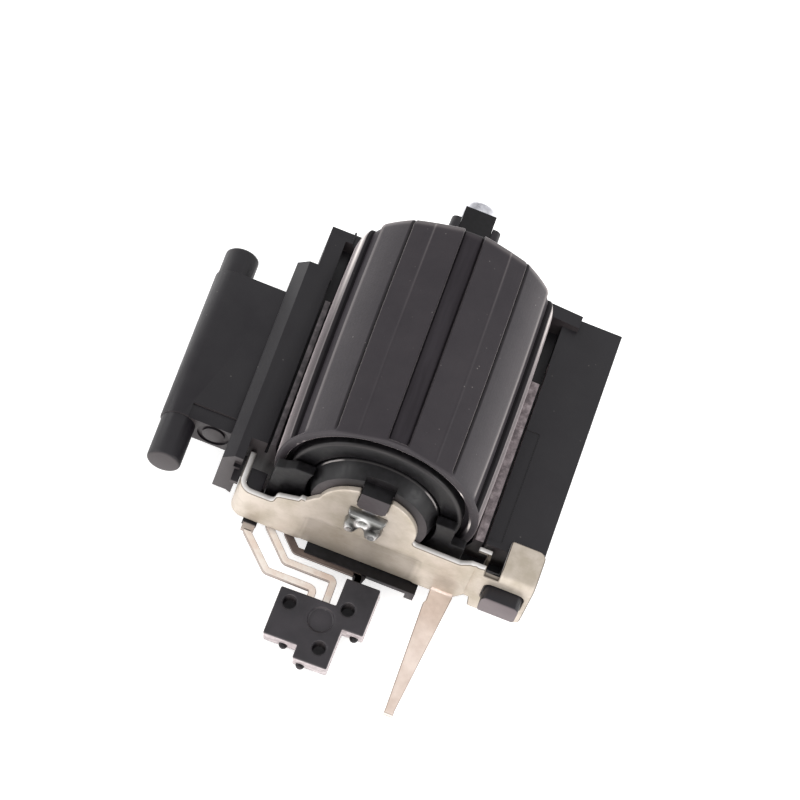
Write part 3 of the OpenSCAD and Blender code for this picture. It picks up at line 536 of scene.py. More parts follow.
def moulded_rubber(tone):
    """Nitrile rubber from a machined mould: satin, with fine drag lines along the roller, a dull bloom
    that shows pale where it is seen edge on, and specks of dust. The lines are about 0.12 mm apart, so
    that they show."""
    material, tree, shader = new_material("moulded_nitrile_rubber", IOR=1.5, Specular_IOR_Level=0.35,
                                          Sheen_Weight=1.0, Sheen_Roughness=0.25,
                                          Sheen_Tint=linear("#f0e4e4"))
    place = coordinates(tree)
    lines = noise(tree, drawn(tree, place, (1.0, 0.04, 1.0)), 0.12, 2.0)
    grain = noise(tree, place, 0.1, 4.0, 0.65)
    bloom = noise(tree, place, 1.9, 5.0, 0.6)
    tint = ramp(tree, bloom, (0.32, tone), (0.7, "#2e292d"))
    few = maths(tree, "MULTIPLY", dust(tree, place, 0.5, 0.09, 0.35), remap(tree, bloom, 0.42, 0.6))
    dusty = blend(tree, few, tint, linear("#a8a29e"))
    # The edge marks lay painted shade in the grooves and painted highlights, glints and side light over the
    # rubber
    colour = edge_tones(tree, dusty, "#0a090a", "#6f686a", "#e6ddd8", 1.0)
    wire(tree, shader, Base_Color=colour, Roughness=remap(tree, grain, 0.3, 0.7, 0.42, 0.55),
         Normal=dents(tree, maths(tree, "ADD", lines, grain), 0.2, 0.02))
    return material


def channel_rubber(tone):
    """The same rubber on the channels' floors, where the mould was polished: darker and free of bloom."""
    material, tree, shader = new_material("mould_polished_rubber", IOR=1.45, Specular_IOR_Level=0.15)
    streak = noise(tree, drawn(tree, coordinates(tree), (1.0, 0.1, 1.0)), 0.3, 3.0)
    tint = ramp(tree, streak, (0.35, tone), (0.7, "#363236"))
    # The edge marks lay painted shade and painted highlights over the channel floors
    colour = edge_tones(tree, tint, "#0a090a", "#4d484a", "#6f686a", 1.0)
    wire(tree, shader, Base_Color=colour, Roughness=remap(tree, streak, 0.3, 0.7, 0.45, 0.55),
         Normal=dents(tree, streak, 0.15, 0.01))
    return material


def plated_strip(name, light, dark, rim, stretch, rough_low, rough_high):
    """Cold-rolled strip with a dull nickel or tin plating, half mirror and half scatter: rolled lines
    drawn out along stretch, cloudy stains, fine mottling, and sheared edges painted with light and shade by
    the edge marks. rim is their painted shade line, grey and painted highlight colours."""
    material, tree, shader = new_material(name)
    place = coordinates(tree)
    rolled = noise(tree, drawn(tree, place, stretch), 0.1, 3.0)
    stain = noise(tree, place, 1.6, 5.0, 0.62)
    tint = ramp(tree, stain, (0.36, dark), (0.62, light))
    spots = remap(tree, noise(tree, place, 0.22, 3.0, 0.6), 0.58, 0.8, 0.0, 0.35)
    colour = edge_tones(tree, blend(tree, spots, tint, linear(dark)), *rim)
    wire(tree, shader, Base_Color=colour, Metallic=remap(tree, edge_mark(tree), 0.0, 1.0, 0.5, 0.2),
         Roughness=remap(tree, rolled, 0.3, 0.7, rough_low, rough_high),
         Normal=dents(tree, rolled, 0.12, 0.01))
    return material


def ground_steel(name, tone, dull, painted_highlight):
    """Centreless-ground steel: fine rings round the shaft and small smears of grease. Where the point
    attribute edge is high, as on the staked head's lobes, the colour goes towards painted_highlight, a
    painted highlight."""
    material, tree, shader = new_material(name, Metallic=1.0)
    place = coordinates(tree)
    rings = noise(tree, drawn(tree, place, (0.05, 1.0, 0.05)), 0.05, 2.0)
    smear = noise(tree, place, 0.5, 4.0)
    tint = ramp(tree, smear, (0.35, dull), (0.62, tone))
    wire(tree, shader, Base_Color=blend(tree, edge_mark(tree), tint, linear(painted_highlight)),
         Roughness=remap(tree, smear, 0.3, 0.7, 0.24, 0.4), Normal=dents(tree, rings, 0.12, 0.01))
    return material


def scuffs_and_painted_light(name, shade, light, bright, size):
    """Plastic painted pale in blotches about size mm wide over the dark moulding, partly scuffs and partly a
    painted reflection of the bright surroundings, and dark again where the point attribute edge is high."""
    material, tree, shader = new_material(name, IOR=1.5, Roughness=0.5)
    scuff = noise(tree, coordinates(tree), size, 5.0, 0.65)
    tint = ramp(tree, scuff, (0.38, shade), (0.52, light), (0.7, bright))
    colour = blend(tree, remap(tree, edge_mark(tree), 0.55, 0.95), tint, linear("#2d2a2d"))
    wire(tree, shader, Base_Color=colour, Normal=dents(tree, scuff, 0.3, 0.02))
    return material


def pale_sweep():
    """Matt white paper sweep that glows, as if lit through, enough to leave only faint shadows."""
    material, tree, shader = new_material("white_paper_sweep", Roughness=0.9, Emission_Strength=0.6,
                                          Emission_Color=linear("#ffffff"))
    fibre = noise(tree, coordinates(tree), 6, 3.0)
    wire(tree, shader, Base_Color=ramp(tree, fibre, (0.3, "#f4f3f2"), (0.7, "#f8f7f6")))
    return material


FINISHES = {}
ALONG_X, ALONG_Y, EVEN = (0.08, 1.0, 1.0), (1.0, 0.08, 1.0), (1.0, 1.0, 1.0)


def finish(kind):
    """The shared material of that kind, made once from the panel's colours."""
    if kind not in FINISHES:
        c = bpy.context.scene.encoder_colours
        tone = {k: "#%02x%02x%02x" % tuple(int(round(v * 255)) for v in getattr(c, k))
                for k in EncoderColours.__annotations__}
        FINISHES[kind] = {
            # Each nylon's second colour is painted on its faces towards the end plate: a painted reflection
            # of the bright floor
            "nylon": lambda: spark_eroded_nylon("spark_eroded_nylon", tone["frame_black"], "#403a3b"),
            "block": lambda: spark_eroded_nylon("block_nylon_painted_front", tone["block_black"], "#5a5455"),
            "boss": lambda: spark_eroded_nylon("boss_nylon_painted_front", tone["frame_black"], "#73686a"),
            "acetal": lambda: polished_acetal(tone["hub_black"]),
            "rubber": lambda: moulded_rubber(tone["rubber_black"]),
            "channel": lambda: channel_rubber("#2c282c"),
            # A rim gives the edge marks' colours: a painted shade line, a grey, and a painted highlight
            "plate": lambda: plated_strip("dull_nickel_on_steel", tone["plate_nickel"], "#b5aa9a",
                                          ("#5f564c", "#8d8884", "#efece9"), ALONG_X, 0.4, 0.55),
            "leg": lambda: plated_strip("dull_nickel_on_bent_leg", "#f3e3d8", "#ddcabd",
                                        ("#a99c92", "#a99e97", "#e5dcd5"), ALONG_Y, 0.4, 0.55),
            # The leads' rim colours are all darker than their tin: painted shade on the leads' side walls
            "lead": lambda: plated_strip("hot_tinned_bronze", tone["lead_tin"], "#ecd9cc",
                                         ("#8d7f78", "#8d827c", "#a99d96"), EVEN, 0.4, 0.6),
            # The common lead runs close under the plate's lower edge and is coloured darker: painted shade
            "dark lead": lambda: plated_strip("shaded_bronze", "#7d6e66", "#5c504b",
                                              ("#3b3330", "#4c4340", "#7d6e66"), EVEN, 0.4, 0.6),
            "brass": lambda: plated_strip("rolled_spring_brass", "#d6b25e", "#8a6a33",
                                          ("#5a4420", "#a5873f", "#e6cf92"), (0.1, 1.0, 1.0), 0.25, 0.4),
            "steel": lambda: ground_steel("ground_bright_steel", tone["shaft_steel"], "#b4b4ba", "#f4f4f6"),
            # The head's bright colour is a painted highlight on its marked lobes and ridge
            "head": lambda: ground_steel("staked_grey_steel", "#6f6f6c", "#504f4d", "#fbfaf9"),
            # The block sides are painted pale: a painted reflection of the bright floor over scuffs
            "side": lambda: scuffs_and_painted_light("block_side_painted_pale", "#a09596", tone["block_side"], "#d0c6c6",
                                             0.3),
            # The right lip is painted paler than the left: lit and shaded copies of the same scuffed plastic
            "lip": lambda: scuffs_and_painted_light("right_lip_scuffs_and_light", "#62585a", "#85797b", "#ada2a3", 0.45),
            "dark lip": lambda: scuffs_and_painted_light("left_lip_scuffs_and_shade", "#332f31", "#4a4446", "#6a6264", 0.4),
        }[kind]()
    return FINISHES[kind]


# Roller

ROLLER_FRONT, ROLLER_LEN = 1.45, 12.7
SLEEVE_WALL, DRUM_GAP = 0.79, 0.01
CHANNELS = np.array([-141.67, -63.6, -0.5, 65.0, 141.67])
GROOVES = np.array([-103.33, -36.0, 35.0, 103.33, 180.0])
RIDGES = np.array([-164.67, -118.67, -23.0, 23.0, 118.67, 164.67])


def sleeve_rows(radius, crown):
    """The sleeve's closed section as rows of (radius, depth, share of the pattern): bore, ring recess,
    rounded front end, crowned outside r = radius + crown * (1 - t * t) with t from -1 to 1 along it,
    rounded rear end."""
    front, rear = ROLLER_FRONT, ROLLER_FRONT + ROLLER_LEN
    nose_round, tail_drop, tail_round, recess = 0.12, 0.22, 0.45, 0.45
    core = radius - SLEEVE_WALL
    a = np.radians(np.linspace(0, 90, 9))
    s, c = 1 - np.sin(a), 1 - np.cos(a)
    depth = np.concatenate([np.linspace(front + nose_round, front + 0.5, 9),
                            np.linspace(front + 0.6, front + 1.6, 6),
                            np.linspace(front + 1.8, rear - tail_round, 36)])
    t = (depth - front) / ROLLER_LEN * 2 - 1
    body = np.stack([radius + crown * (1 - t * t), depth, np.ones(len(t))], -1)
    share = np.sin(a) * 0.3 + 0.7
    nose = np.stack([body[0, 0] - nose_round * s, front + nose_round * c, share], -1)
    tail = np.stack([body[-1, 0] - tail_drop * s, rear - tail_round * c, share], -1)
    inner = [[core, rear, 0], [core, front + 4, 0], [core, front + recess, 0],
             [core + 0.27, front + recess, 0], [core + 0.31, front + 0.41, 0],
             [core + 0.31, front + 0.08, 0], [core + 0.34, front + 0.02, 0], [core + 0.38, front, 0],
             [core + 0.43, front, 0.2], [core + 0.45, front, 0.5]]
    return np.vstack([inner, nose, body[1:-1], tail[::-1], [[core, rear, 0]]])


def nearest(angles, places):
    """The distance in degrees from each angle to the nearest of the places round the circle."""
    return np.abs((angles[:, None] - places[None] + 180) % 360 - 180).min(1)


def sleeve_angles(wall):
    """The angles of the sleeve's columns: every 0.9 degrees, and close together at channel walls, grooves
    and ridges. wall is the angle from a channel's middle to its wall."""
    side = np.linspace(-0.6, 1.2, 10) + wall
    parts = [np.add.outer(CHANNELS, np.concatenate([side, -side])),
             np.add.outer(GROOVES, np.linspace(-1.6, 1.6, 13)),
             np.add.outer(RIDGES, np.linspace(-1.2, 1.2, 7)), np.arange(0, 360, 0.9)]
    angles = np.unique(np.round((np.concatenate([part.ravel() for part in parts]) + 180) % 360 - 180, 2))
    return angles[np.concatenate([[True], np.diff(angles) > 0.07])]


def sleeve_marks(rows, angles, size, wall, channel, rise, vee, ridge, corner):
    """The sleeve's edge marks, all painted light. Corner and V grooves are darkened with painted shade;
    ridges, the channels' shoulders, both flanks, both rims and four glints in the ring recess get painted
    highlights, and painted light pales the sides, the right one more than the left."""
    ring, depth, share = rows[:, 0:1], rows[:, 1:2], rows[:, 2:3]
    along = (depth - ROLLER_FRONT) / ROLLER_LEN
    # Painted highlights on the ridges, the channels' shoulders and the rear flanks; bloom is painted light
    # that pales the sides, the right one more
    sleeve_highlight = 0.24 * ridge * rise * np.clip(along * 1.6 - 0.5, 0.1, 1)
    shoulder = 0.3 * bell(size - wall - 1.6, 1.0) * (np.abs(angles) > 20)
    bloom = 0.14 * np.clip((angles - 38) / 22, 0, 1) + 0.05 * np.clip((-angles - 38) / 22, 0, 1)
    flank = bell(np.abs(angles) - 75, 4) * np.clip((along - 0.5) / 0.4, 0, 1)
    sleeve_highlight = np.maximum(np.maximum(sleeve_highlight, (shoulder + bloom) * rise), flank * (channel < 0.1))
    # Painted highlights along the front rim, and along the rear rim below
    rim = 0.08 * bell(depth - ROLLER_FRONT - 0.03, 0.05) * (ring > ring[0] + 0.5)
    # Painted shade in the corner grooves and the V grooves
    groove_shade = np.maximum(0.8 * corner, 0.75 * np.clip(vee * 1.4, 0, 1)) * rise
    mark = np.where(groove_shade > 0.1, -groove_shade, sleeve_highlight + 0.3 * bell(along - 0.985, 0.012)) * share + rim
    # Painted glints in the ring recess
    recess = (np.abs(ring - ring[0] - 0.37) < 0.07) & (depth < ROLLER_FRONT + 0.1)
    glint = (bell(angles - 51.5, 3.4) + bell(angles - 85, 6.5)
             + 0.45 * bell(angles + 62, 1.6) + 0.45 * bell(angles + 68, 1.2))
    return np.where(recess, glint[None], mark)


def sleeve_shell(sizes):
    """r(angle, depth) = section radius - share * pattern. The pattern is made of flat-floored channels
    with steep walls and a fine corner groove, which fade out at the front edge, V grooves between them,
    pads flattened to their chord r * cos(half pad) / cos(angle - pad middle), most beside the top channel,
    and faint ridges. The faces on the channels' floors take the second material."""
    rows = sleeve_rows(sizes.roller_radius, sizes.roller_crown)
    wall = math.degrees(math.asin(sizes.channel_width / 2 / sizes.roller_radius))
    angles = sleeve_angles(wall)
    size = nearest(angles, CHANNELS)
    rise = np.clip((rows[:, 1:2] - ROLLER_FRONT - 0.08) / 0.3, 0, 1)
    channel = step((wall + 0.55 - size[None]) / 0.75) * step(rise)
    bounds = np.sort(np.concatenate([CHANNELS - wall, CHANNELS + wall, GROOVES, [-180.0]]))
    k = np.clip(np.searchsorted(bounds, angles, "right"), 1, len(bounds) - 1)
    middle, pad = (bounds[k - 1] + bounds[k]) / 2, (bounds[k] - bounds[k - 1]) / 2
    flat = 1 - np.cos(np.radians(pad)) / np.cos(np.radians(angles - middle))
    flat = flat * np.interp(np.abs(middle), [20, 45, 80], [0.85, 0.5, 0.05])
    vee = np.clip(1 - nearest(angles, GROOVES) / 1.25, 0, 1)
    ridge, corner = bell(nearest(angles, RIDGES), 0.55), bell(size - wall, 0.4)
    floor = sizes.channel_depth + 0.5 * (rows[:, 0:1] - sizes.roller_radius).clip(0)
    pattern = (floor * channel + sizes.roller_radius * flat * (1 - channel)
               + sizes.groove_depth * vee ** 1.3 * rise - 0.018 * ridge * rise + 0.05 * corner * rise)
    r = rows[:, 0:1] - rows[:, 2:3] * pattern
    turn = np.radians(angles)
    verts = np.stack([r * np.sin(turn), np.repeat(rows[:, 1:2], len(angles), 1), r * np.cos(turn)], -1)
    mark = sleeve_marks(rows, angles, size, wall, channel, rise, vee, ridge, corner)
    deep = channel > 0.3
    deep = deep[:-1] & deep[1:]
    deep = deep & np.roll(deep, -1, 1)
    return (verts.reshape(-1, 3), grid_faces(len(rows), len(angles), True).tolist(), mark.reshape(-1),
            deep.astype(int).ravel())


def drum_shell(sizes):
    """The drum's closed section of (radius, depth), each corner an arc, turned about the roller's axis.
    The rim's front corner is marked with a thin painted highlight."""
    r = sizes.roller_radius - SLEEVE_WALL - DRUM_GAP
    front, rear = ROLLER_FRONT - 0.2, ROLLER_FRONT + ROLLER_LEN
    journal, boss, cavity, mouth = 0.85, 1.65, 3.5, 3.25
    points = [[r, front], [r, rear], [boss, rear], [boss, rear - 1.6], [journal, rear - 1.6], [journal, 6.9],
              [cavity, 6.9], [cavity, 2.45], [mouth, 2.45], [mouth, front]]
    rounds = [0.2, 0.1, 0.08, 0.05, 0.05, 0.05, 0.1, 0.05, 0.02, 0.1]
    verts, faces, _ = turned_shell(fillet(np.column_stack([points, rounds]), 5), 192)
    # Painted highlight along the rim's front corner
    rim = bell(np.hypot(verts[:, 0], verts[:, 2]) - r + 0.07, 0.06) * (verts[:, 1] < front + 0.2)
    return verts, faces, 0.16 * rim


CLICK_BALL_R = 0.34


def ball_shell():
    """The click ball, hung from the CAD ball's top. Its radius is smaller than that one's 0.4 mm, so that it
    clears the click ring's crests. A point is radius * (sin b cos a, sin b sin a, cos b)."""
    points = points_of(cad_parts["detent_ball"].data)
    low, high = points.min(0), points.max(0)
    a, b = np.linspace(0, 2 * np.pi, 32, endpoint=False)[None], np.linspace(0, np.pi, 17)[:, None]
    ball = CLICK_BALL_R * np.stack([np.sin(b) * np.cos(a), np.sin(b) * np.sin(a), np.cos(b) + 0 * a], -1)
    centre = np.append((low + high)[:2] / 2, high[2] - CLICK_BALL_R)
    return ball.reshape(-1, 3) + centre, grid_faces(17, 32, True).tolist(), np.zeros(ball.size // 3)


# Hub webs and ledges

WEB_ARC_R, WEB_BOTTOM, WEB_FRONT = 3.25, -2.4, 0.62
LEDGE_TOP = -2.02


def hub_webs():
    """The two outlines of the web behind the plate, left and right of the hub, each closed along an arc
    0.05 mm outside the hub. They hide the lower half of the roller's end."""
    left = [[-2.6, WEB_BOTTOM, 0.03], [-4.95, WEB_BOTTOM, 0.03], [-4.95, 0.45, 0.1], [-4.5, 0.62, 0.1],
            [-4.0, 0.93, 0.1]]
    right = [[4.15, 0.93, 0.1], [4.15, -0.41, 0.05], [4.9, -0.41, 0.1], [4.9, WEB_BOTTOM, 0.03],
             [2.6, WEB_BOTTOM, 0.03]]
    return (fillet(np.vstack([left, arc_points((0, 0), WEB_ARC_R, 163.4, 220, 14)]), 4),
            fillet(np.vstack([right, arc_points((0, 0), WEB_ARC_R, -40, 16.6, 14)]), 4))


def frame_ledges():
    """The outlines of two thin ledges of the frame, one outside the plate's flange and one inside it."""
    return (fillet([[-6.7, 0.45, 0.03], [-6.31, 0.45, 0.03], [-6.31, 2.0, 0.03], [-6.7, 2.0, 0.03]], 3),
            fillet([[-5.92, 0.34, 0.42], [-5.1, 0.34, 0.03], [-5.1, 1.5, 0.03], [-5.92, 1.5, 0.03]], 6))


# End plate

PLATE_T = 0.3
# Places in the developed sheet, u along it and v up, and the radii of its two folds to its front face
FLANGE_AT, FLANGE_R = -5.56, 0.7
FOLD_AT, FOLD_R, TAB_FROM = -1.08, 0.5, 6.6
PLATE_LEFT, PLATE_RIGHT, PLATE_LOW, TAB_END = -8.21, 8.75, -4.25, 1.355
DOME_AT, DOME_R, KEY_HALF = (0.0, -0.2), 2.5, 0.75
FIELD_AT, FIELD_HALF, FIELD_CORNER = (0.3, -2.2), 2.6, 0.35
DISH_AT = (4.76, -2.95)
CREASES = (5.7, 6.12)
BOSS_AT, BOSS_HALF, BOSS_CORNER = (7.47, -2.38), (0.94, 0.725), 0.35
# The leg's bend: its height, its inner radius, the radius on which the flat strip is measured; its end
LEG_AT, LEG_BEND, LEG_NEUTRAL, LEG_END = -3.8, 0.15, 0.225, 7.44


def plate_outline():
    """The developed outline of the plate, from the rolled left flange over the dome with its key notch to
    the neck and the tab whose upper end folds back over the right block; u runs along the sheet, v up."""
    notch = math.degrees(math.acos(KEY_HALF / DOME_R))
    left = [[PLATE_LEFT, PLATE_LOW, 0.7], [PLATE_LEFT, -1.8, 0.12], [-4.45, -1.8, 0.24],
            [-4.36, -1.16, 0.24], [-3.32, -0.78, 0.04], [-3.24, -0.52, 0.05], [-2.98, -0.54, 0.08],
            [-2.72, -0.12, 0.1]]
    dome = arc_points(DOME_AT, DOME_R, 171, 180 - notch + 3, 14)
    key = [[-KEY_HALF, 2.16, 0.1], [-KEY_HALF, 1.18, 0.03], [-0.54, 0.98, 0.03], [0.54, 0.98, 0.03],
           [KEY_HALF, 1.18, 0.03], [KEY_HALF, 2.16, 0.1]]
    right = arc_points(DOME_AT, DOME_R, notch - 3, -9, 15)
    neck = [[2.58, -0.82, 0.22], [4.95, -0.86, 0.3], [5.42, -0.5, 0.2], [6.18, -0.47, 0.06],
            [6.24, -1.05, 0.06], [6.95, -1.05, 0.04], [6.95, TAB_END, 0.12], [PLATE_RIGHT, TAB_END, 0.4],
            [PLATE_RIGHT, PLATE_LOW, 0.4], [6.1, PLATE_LOW, 0.12], [5.98, -3.45, 0.05], [5.75, -3.47, 0.1],
            [5.25, -4.22, 0.25], [-4.0, PLATE_LOW, 0]]
    return fillet(np.vstack([left, dome, key, right, neck]), 5)


def plate_relief(u, v):
    """How deep the face is sunk: a pressed field, a rounded rectangle whose sides fall over 0.14 mm, two
    creases before the tab, and a shallow dish in a raised ring above the leg's root."""
    out_x, out_z = np.abs(u - FIELD_AT[0]) - FIELD_HALF, v - FIELD_AT[1]
    far = np.hypot(np.maximum(out_x, 0), np.maximum(out_z, 0)) + np.minimum(np.maximum(out_x, out_z), 0)
    field = 0.05 * step(0.5 - (far - FIELD_CORNER) / 0.14)
    crease = bell(u - CREASES[0], 0.07) * step((v + 3.5) / 0.1)
    crease = crease + 0.6 * bell(u - CREASES[1], 0.09) * step((v + 3.4) / 0.3)
    ring = np.hypot(u - DISH_AT[0], v - DISH_AT[1])
    return field + 0.05 * crease + 0.035 * bell(ring, 0.4) - 0.02 * bell(ring - 0.68, 0.12)


def plate_place(u, v, depth):
    """Bends the developed sheet: left of FLANGE_AT it rolls back about a centre FLANGE_R behind, and above
    FOLD_AT the tab folds back about a centre FOLD_R behind; beyond each quarter turn it runs straight
    back."""
    d = depth + plate_relief(u, v) * (1 - depth / PLATE_T)
    roll = np.clip((FLANGE_AT - u) / FLANGE_R, 0, np.pi / 2)
    past = np.maximum(FLANGE_AT - u - FLANGE_R * np.pi / 2, 0)
    x = np.where(u < FLANGE_AT, FLANGE_AT - (FLANGE_R - d) * np.sin(roll), u)
    y = np.where(u < FLANGE_AT, FLANGE_R - (FLANGE_R - d) * np.cos(roll) + past, d)
    tab = (u > TAB_FROM) & (v > FOLD_AT)
    fold = np.clip((v - FOLD_AT) / FOLD_R, 0, np.pi / 2)
    over = np.maximum(v - FOLD_AT - FOLD_R * np.pi / 2, 0)
    y = np.where(tab, FOLD_R - (FOLD_R - d) * np.cos(fold) + over, y)
    z = np.where(tab, FOLD_AT + (FOLD_R - d) * np.sin(fold), v)
    return np.stack([x, y, z], -1)


def plate_marks(points, marks):
    """The plate's edge marks: thin bright rims round the dome, darker ones at the neck, and painted shade on
    the front face left of the dome's middle, on the pressed field and in the dish."""
    x, y, z = points.T
    sunk = (np.abs(x - FIELD_AT[0]) < 2.85) & (z < -1.95)
    # Painted shade: the front face is darkened left of the dome's middle, on the pressed field and in the
    # dish
    dull = np.minimum(-0.085 * bell(x + 1.3, 2), -0.14 * sunk * plate_relief(x, z) / 0.05)
    dull = np.minimum(dull, -0.09 * bell(np.hypot(x - DISH_AT[0], z - DISH_AT[1]), 0.6))
    marks = np.where((np.abs(x) < 3.02) & (z > -0.62), 0.04 * np.sign(marks), marks)
    marks = np.where((x > 6.15) & (x < 7) & (z > -1.3) & (y < 0.5), -0.4 * np.abs(marks), marks)
    return np.where((y < 0.06) & (marks == 0), dull, marks)


def leg_place(u, v, depth):
    """Bends the leg's strip forward out of the plate's lower edge: v runs down the plate, round the bend
    and on along the leg."""
    turn = np.clip(v / LEG_NEUTRAL, 0, np.pi / 2)
    past = np.maximum(v - LEG_NEUTRAL * np.pi / 2, 0)
    r = LEG_BEND + depth
    return np.stack([u, -LEG_BEND + r * np.cos(turn) - past, LEG_AT - r * np.sin(turn)], -1)


def leg_outline():
    """The leg's tapered strip; its upper end lies in the plate."""
    return fillet([[4.18, -0.35, 0], [4.18, 0.9, 0.08], [4.08, 1.1, 0.08], [4.1, 7.2, 0.2],
                   [4.09, LEG_END, 0.03], [4.57, LEG_END, 0.03], [4.57, 7.15, 0.1], [5.34, 0.35, 0.2],
                   [5.34, -0.35, 0]], 5)


def relief_points():
    """Rows of inner points along the pressed field's sides, beside the creases and round the dish, for the
    slopes to follow."""
    x, z = np.arange(-2.7, 3.3, 0.12), np.arange(-4.15, -2.1, 0.12)
    across = [np.stack([x, np.full(len(x), h)], -1) for h in (-2.0, -1.92, -1.85, -1.78)]
    down = [np.stack([np.full(len(z), w), z], -1)
            for w in (-2.72, -2.65, -2.58, 3.18, 3.25, 3.32, 5.62, 5.7, 5.78, 6.04, 6.12, 6.2)]
    dish = [circle_ring(DISH_AT, r, 28) for r in (0.2, 0.36, 0.5, 0.62, 0.74, 0.88)]
    return np.vstack(across + down + dish)


def boss_hole():
    """The rounded rectangle of the hole round the locking boss, which clears it by 0.05 mm."""
    (x, y), w, h = BOSS_AT, BOSS_HALF[0] + 0.05, BOSS_HALF[1] + 0.05
    return fillet([[x + i * w, y + k * h, BOSS_CORNER] for i, k in ((-1, -1), (1, -1), (1, 1), (-1, 1))], 6)


def tongue_shells():
    """The tab's tongue: a strap straight back from the neck that rises at its end, and a thin cross bar."""
    bar = fillet([[5.6, -1.17, 0.03], [6.26, -1.17, 0.03], [6.26, -1.0, 0.03], [5.6, -1.0, 0.03]], 3)
    strap = fillet([[0.2, -2.28, 0], [1.44, -2.28, 0], [1.44, -1.01, 0.05], [0.95, -1.01, 0.1],
                    [0.7, -1.62, 0.1], [0.2, -1.62, 0]], 3)
    return [sheet_shell(bar, [], 0.25, 0.03, facing_front(1.2)),
            sheet_shell(strap, [], 0.18, 0.03, lambda u, v, d: np.stack([6.09 + d, u, v], -1), mark=SHADED)]


# Shaft and leads

SHAFT_R, SHAFT_REAR, TIP_ROUND = 0.8, 18.6, 0.25


def rod_shell():
    """The shaft's closed section turned about its axis: it starts in the head, and its rear edge is round."""
    front = -0.04
    a = np.radians(np.linspace(0, 90, 9))
    tip = np.stack([SHAFT_R - TIP_ROUND * (1 - np.cos(a)), SHAFT_REAR - TIP_ROUND * (1 - np.sin(a))], -1)
    rows = np.vstack([[[0.0, front], [SHAFT_R, front]], tip, [[0.0, SHAFT_REAR], [0.0, front]]])
    return turned_shell(rows, 64, closed=False)


def head_shell(sizes):
    """The staked head: polar rows from its middle to the outline, y = -proud * (1 - t ** 9) ** 0.5, with
    two lobes squeezed out below, an arched ridge between them over a dent, and a cleft under it, closed by
    a flat back. The lobes, the ridge and faintly the top edge are marked for painted highlights."""
    outline = fillet([[-0.98, 0.66, 0.08], [-0.97, 0.35, 0.1], [-0.84, 0.05, 0.12], [-0.98, -0.5, 0.2],
                      [-0.92, -1.12, 0.2], [-0.55, -1.16, 0.2], [-0.3, -0.72, 0.12], [0.12, -0.72, 0.12],
                      [0.3, -1.22, 0.2], [0.8, -1.22, 0.24], [0.95, -0.5, 0.2], [0.84, 0.05, 0.12],
                      [0.95, 0.38, 0.1], [0.96, 0.64, 0.08], [0.3, 0.7, 0.1], [-0.3, 0.7, 0.1]], 5)
    ring = resample(outline, 0.04)
    t = np.linspace(0, 1, 40)[:, None] ** 0.85
    x = ring[None, :, 0] * t
    z = ring[None, :, 1] * t
    lift = 0.1 + (sizes.head_proud - 0.14) * np.sqrt(np.clip(1 - t ** 9, 0, 1)) + 0 * x
    lobes = bell(x + 0.72, 0.24) * bell(z + 0.72, 0.3) + bell(x - 0.56, 0.26) * bell(z + 0.8, 0.3)
    around = np.hypot(x + 0.12, (z - 0.12) * 0.8)
    arch = bell(around - 0.3, 0.1) * np.clip((z + 0.55) / 0.3, 0, 1)
    dent = 0.24 * bell(around, 0.2)
    cleft = 0.2 * bell(x + 0.08, 0.17) * np.clip(-(z + 0.05) / 0.5, 0, 1)
    waist = 0.1 * bell(z - 0.08, 0.14) * np.clip(np.abs(x) - 0.45, 0, 1) * 2
    y = -(lift + 0.1 * lobes * (1 - t ** 9) + 0.05 * arch - dent - cleft - waist)
    y = np.maximum(y, -sizes.head_proud)
    y[-1] = -0.06
    # Marks for painted highlights on the lobes, the ridge and the top edge
    mark = np.clip(0.95 * lobes + 0.8 * arch + 0.12 * np.clip((z - 0.5) / 0.1, 0, 1), 0, 1)
    top = np.stack([x, y, z], -1)
    back = np.stack([x[::-1], np.zeros_like(x), z[::-1]], -1)
    verts = np.concatenate([top, back])
    marks = np.concatenate([mark, np.zeros_like(mark)])
    return verts.reshape(-1, 3), grid_faces(len(verts), len(ring), True).tolist(), marks.reshape(-1)


def strip_ring(path, width, radius=0.24):
    """The outline of a flat strip of that width along a path whose corners are rounded: each side is the
    path moved along its mitres by half the width."""
    p = np.asarray(path, float)
    inner = np.column_stack([p, np.full(len(p), radius)])
    ends = p[0] + (p[0] - p[1]) * 9, p[-1] + (p[-1] - p[-2]) * 9
    loop = fillet(np.vstack([[[*ends[0], 0]], inner[1:-1], [[*ends[1], 0]]]), 6)[1:-1]
    line = np.vstack([p[:1], loop, p[-1:]])
    ahead = np.diff(line, axis=0)
    ahead /= np.linalg.norm(ahead, axis=1)[:, None]
    left = np.stack([-ahead[:, 1], ahead[:, 0]], -1)
    left = np.vstack([left[:1], left, left[-1:]])
    mitre = (left[:-1] + left[1:]) / (1 + (left[:-1] * left[1:]).sum(1))[:, None]
    return np.vstack([line + mitre * width / 2, (line - mitre * width / 2)[::-1]])


LEAD_WIDE, LEAD_T, LEAD_HIGH = 0.38, 0.2, -4.37
# The leads' routes, from the hub's foot to the terminal block
ROUTES = {
    "lead_a": [[-5.04, -0.4], [-5.04, -0.5], [-3.5, -2.13], [-1.06, -2.13], [-1.06, -2.95]],
    "lead_b": [[-4.12, 0.8], [-4.12, 0.2], [-2.79, -1.28], [-0.28, -1.28], [-0.28, -2.95]],
    "lead_common": [[-3.15, 0.8], [-3.15, 0.2], [-2.5, -0.52], [0.78, -0.52], [0.78, -1.75]],
}


def lead_shell(outline, edge=0.03):
    """A flat piece of the leads' sheet."""
    return sheet_shell(outline, [], LEAD_T, edge, lying_flat(LEAD_HIGH), 0.14, 0.1)


# Terminal block

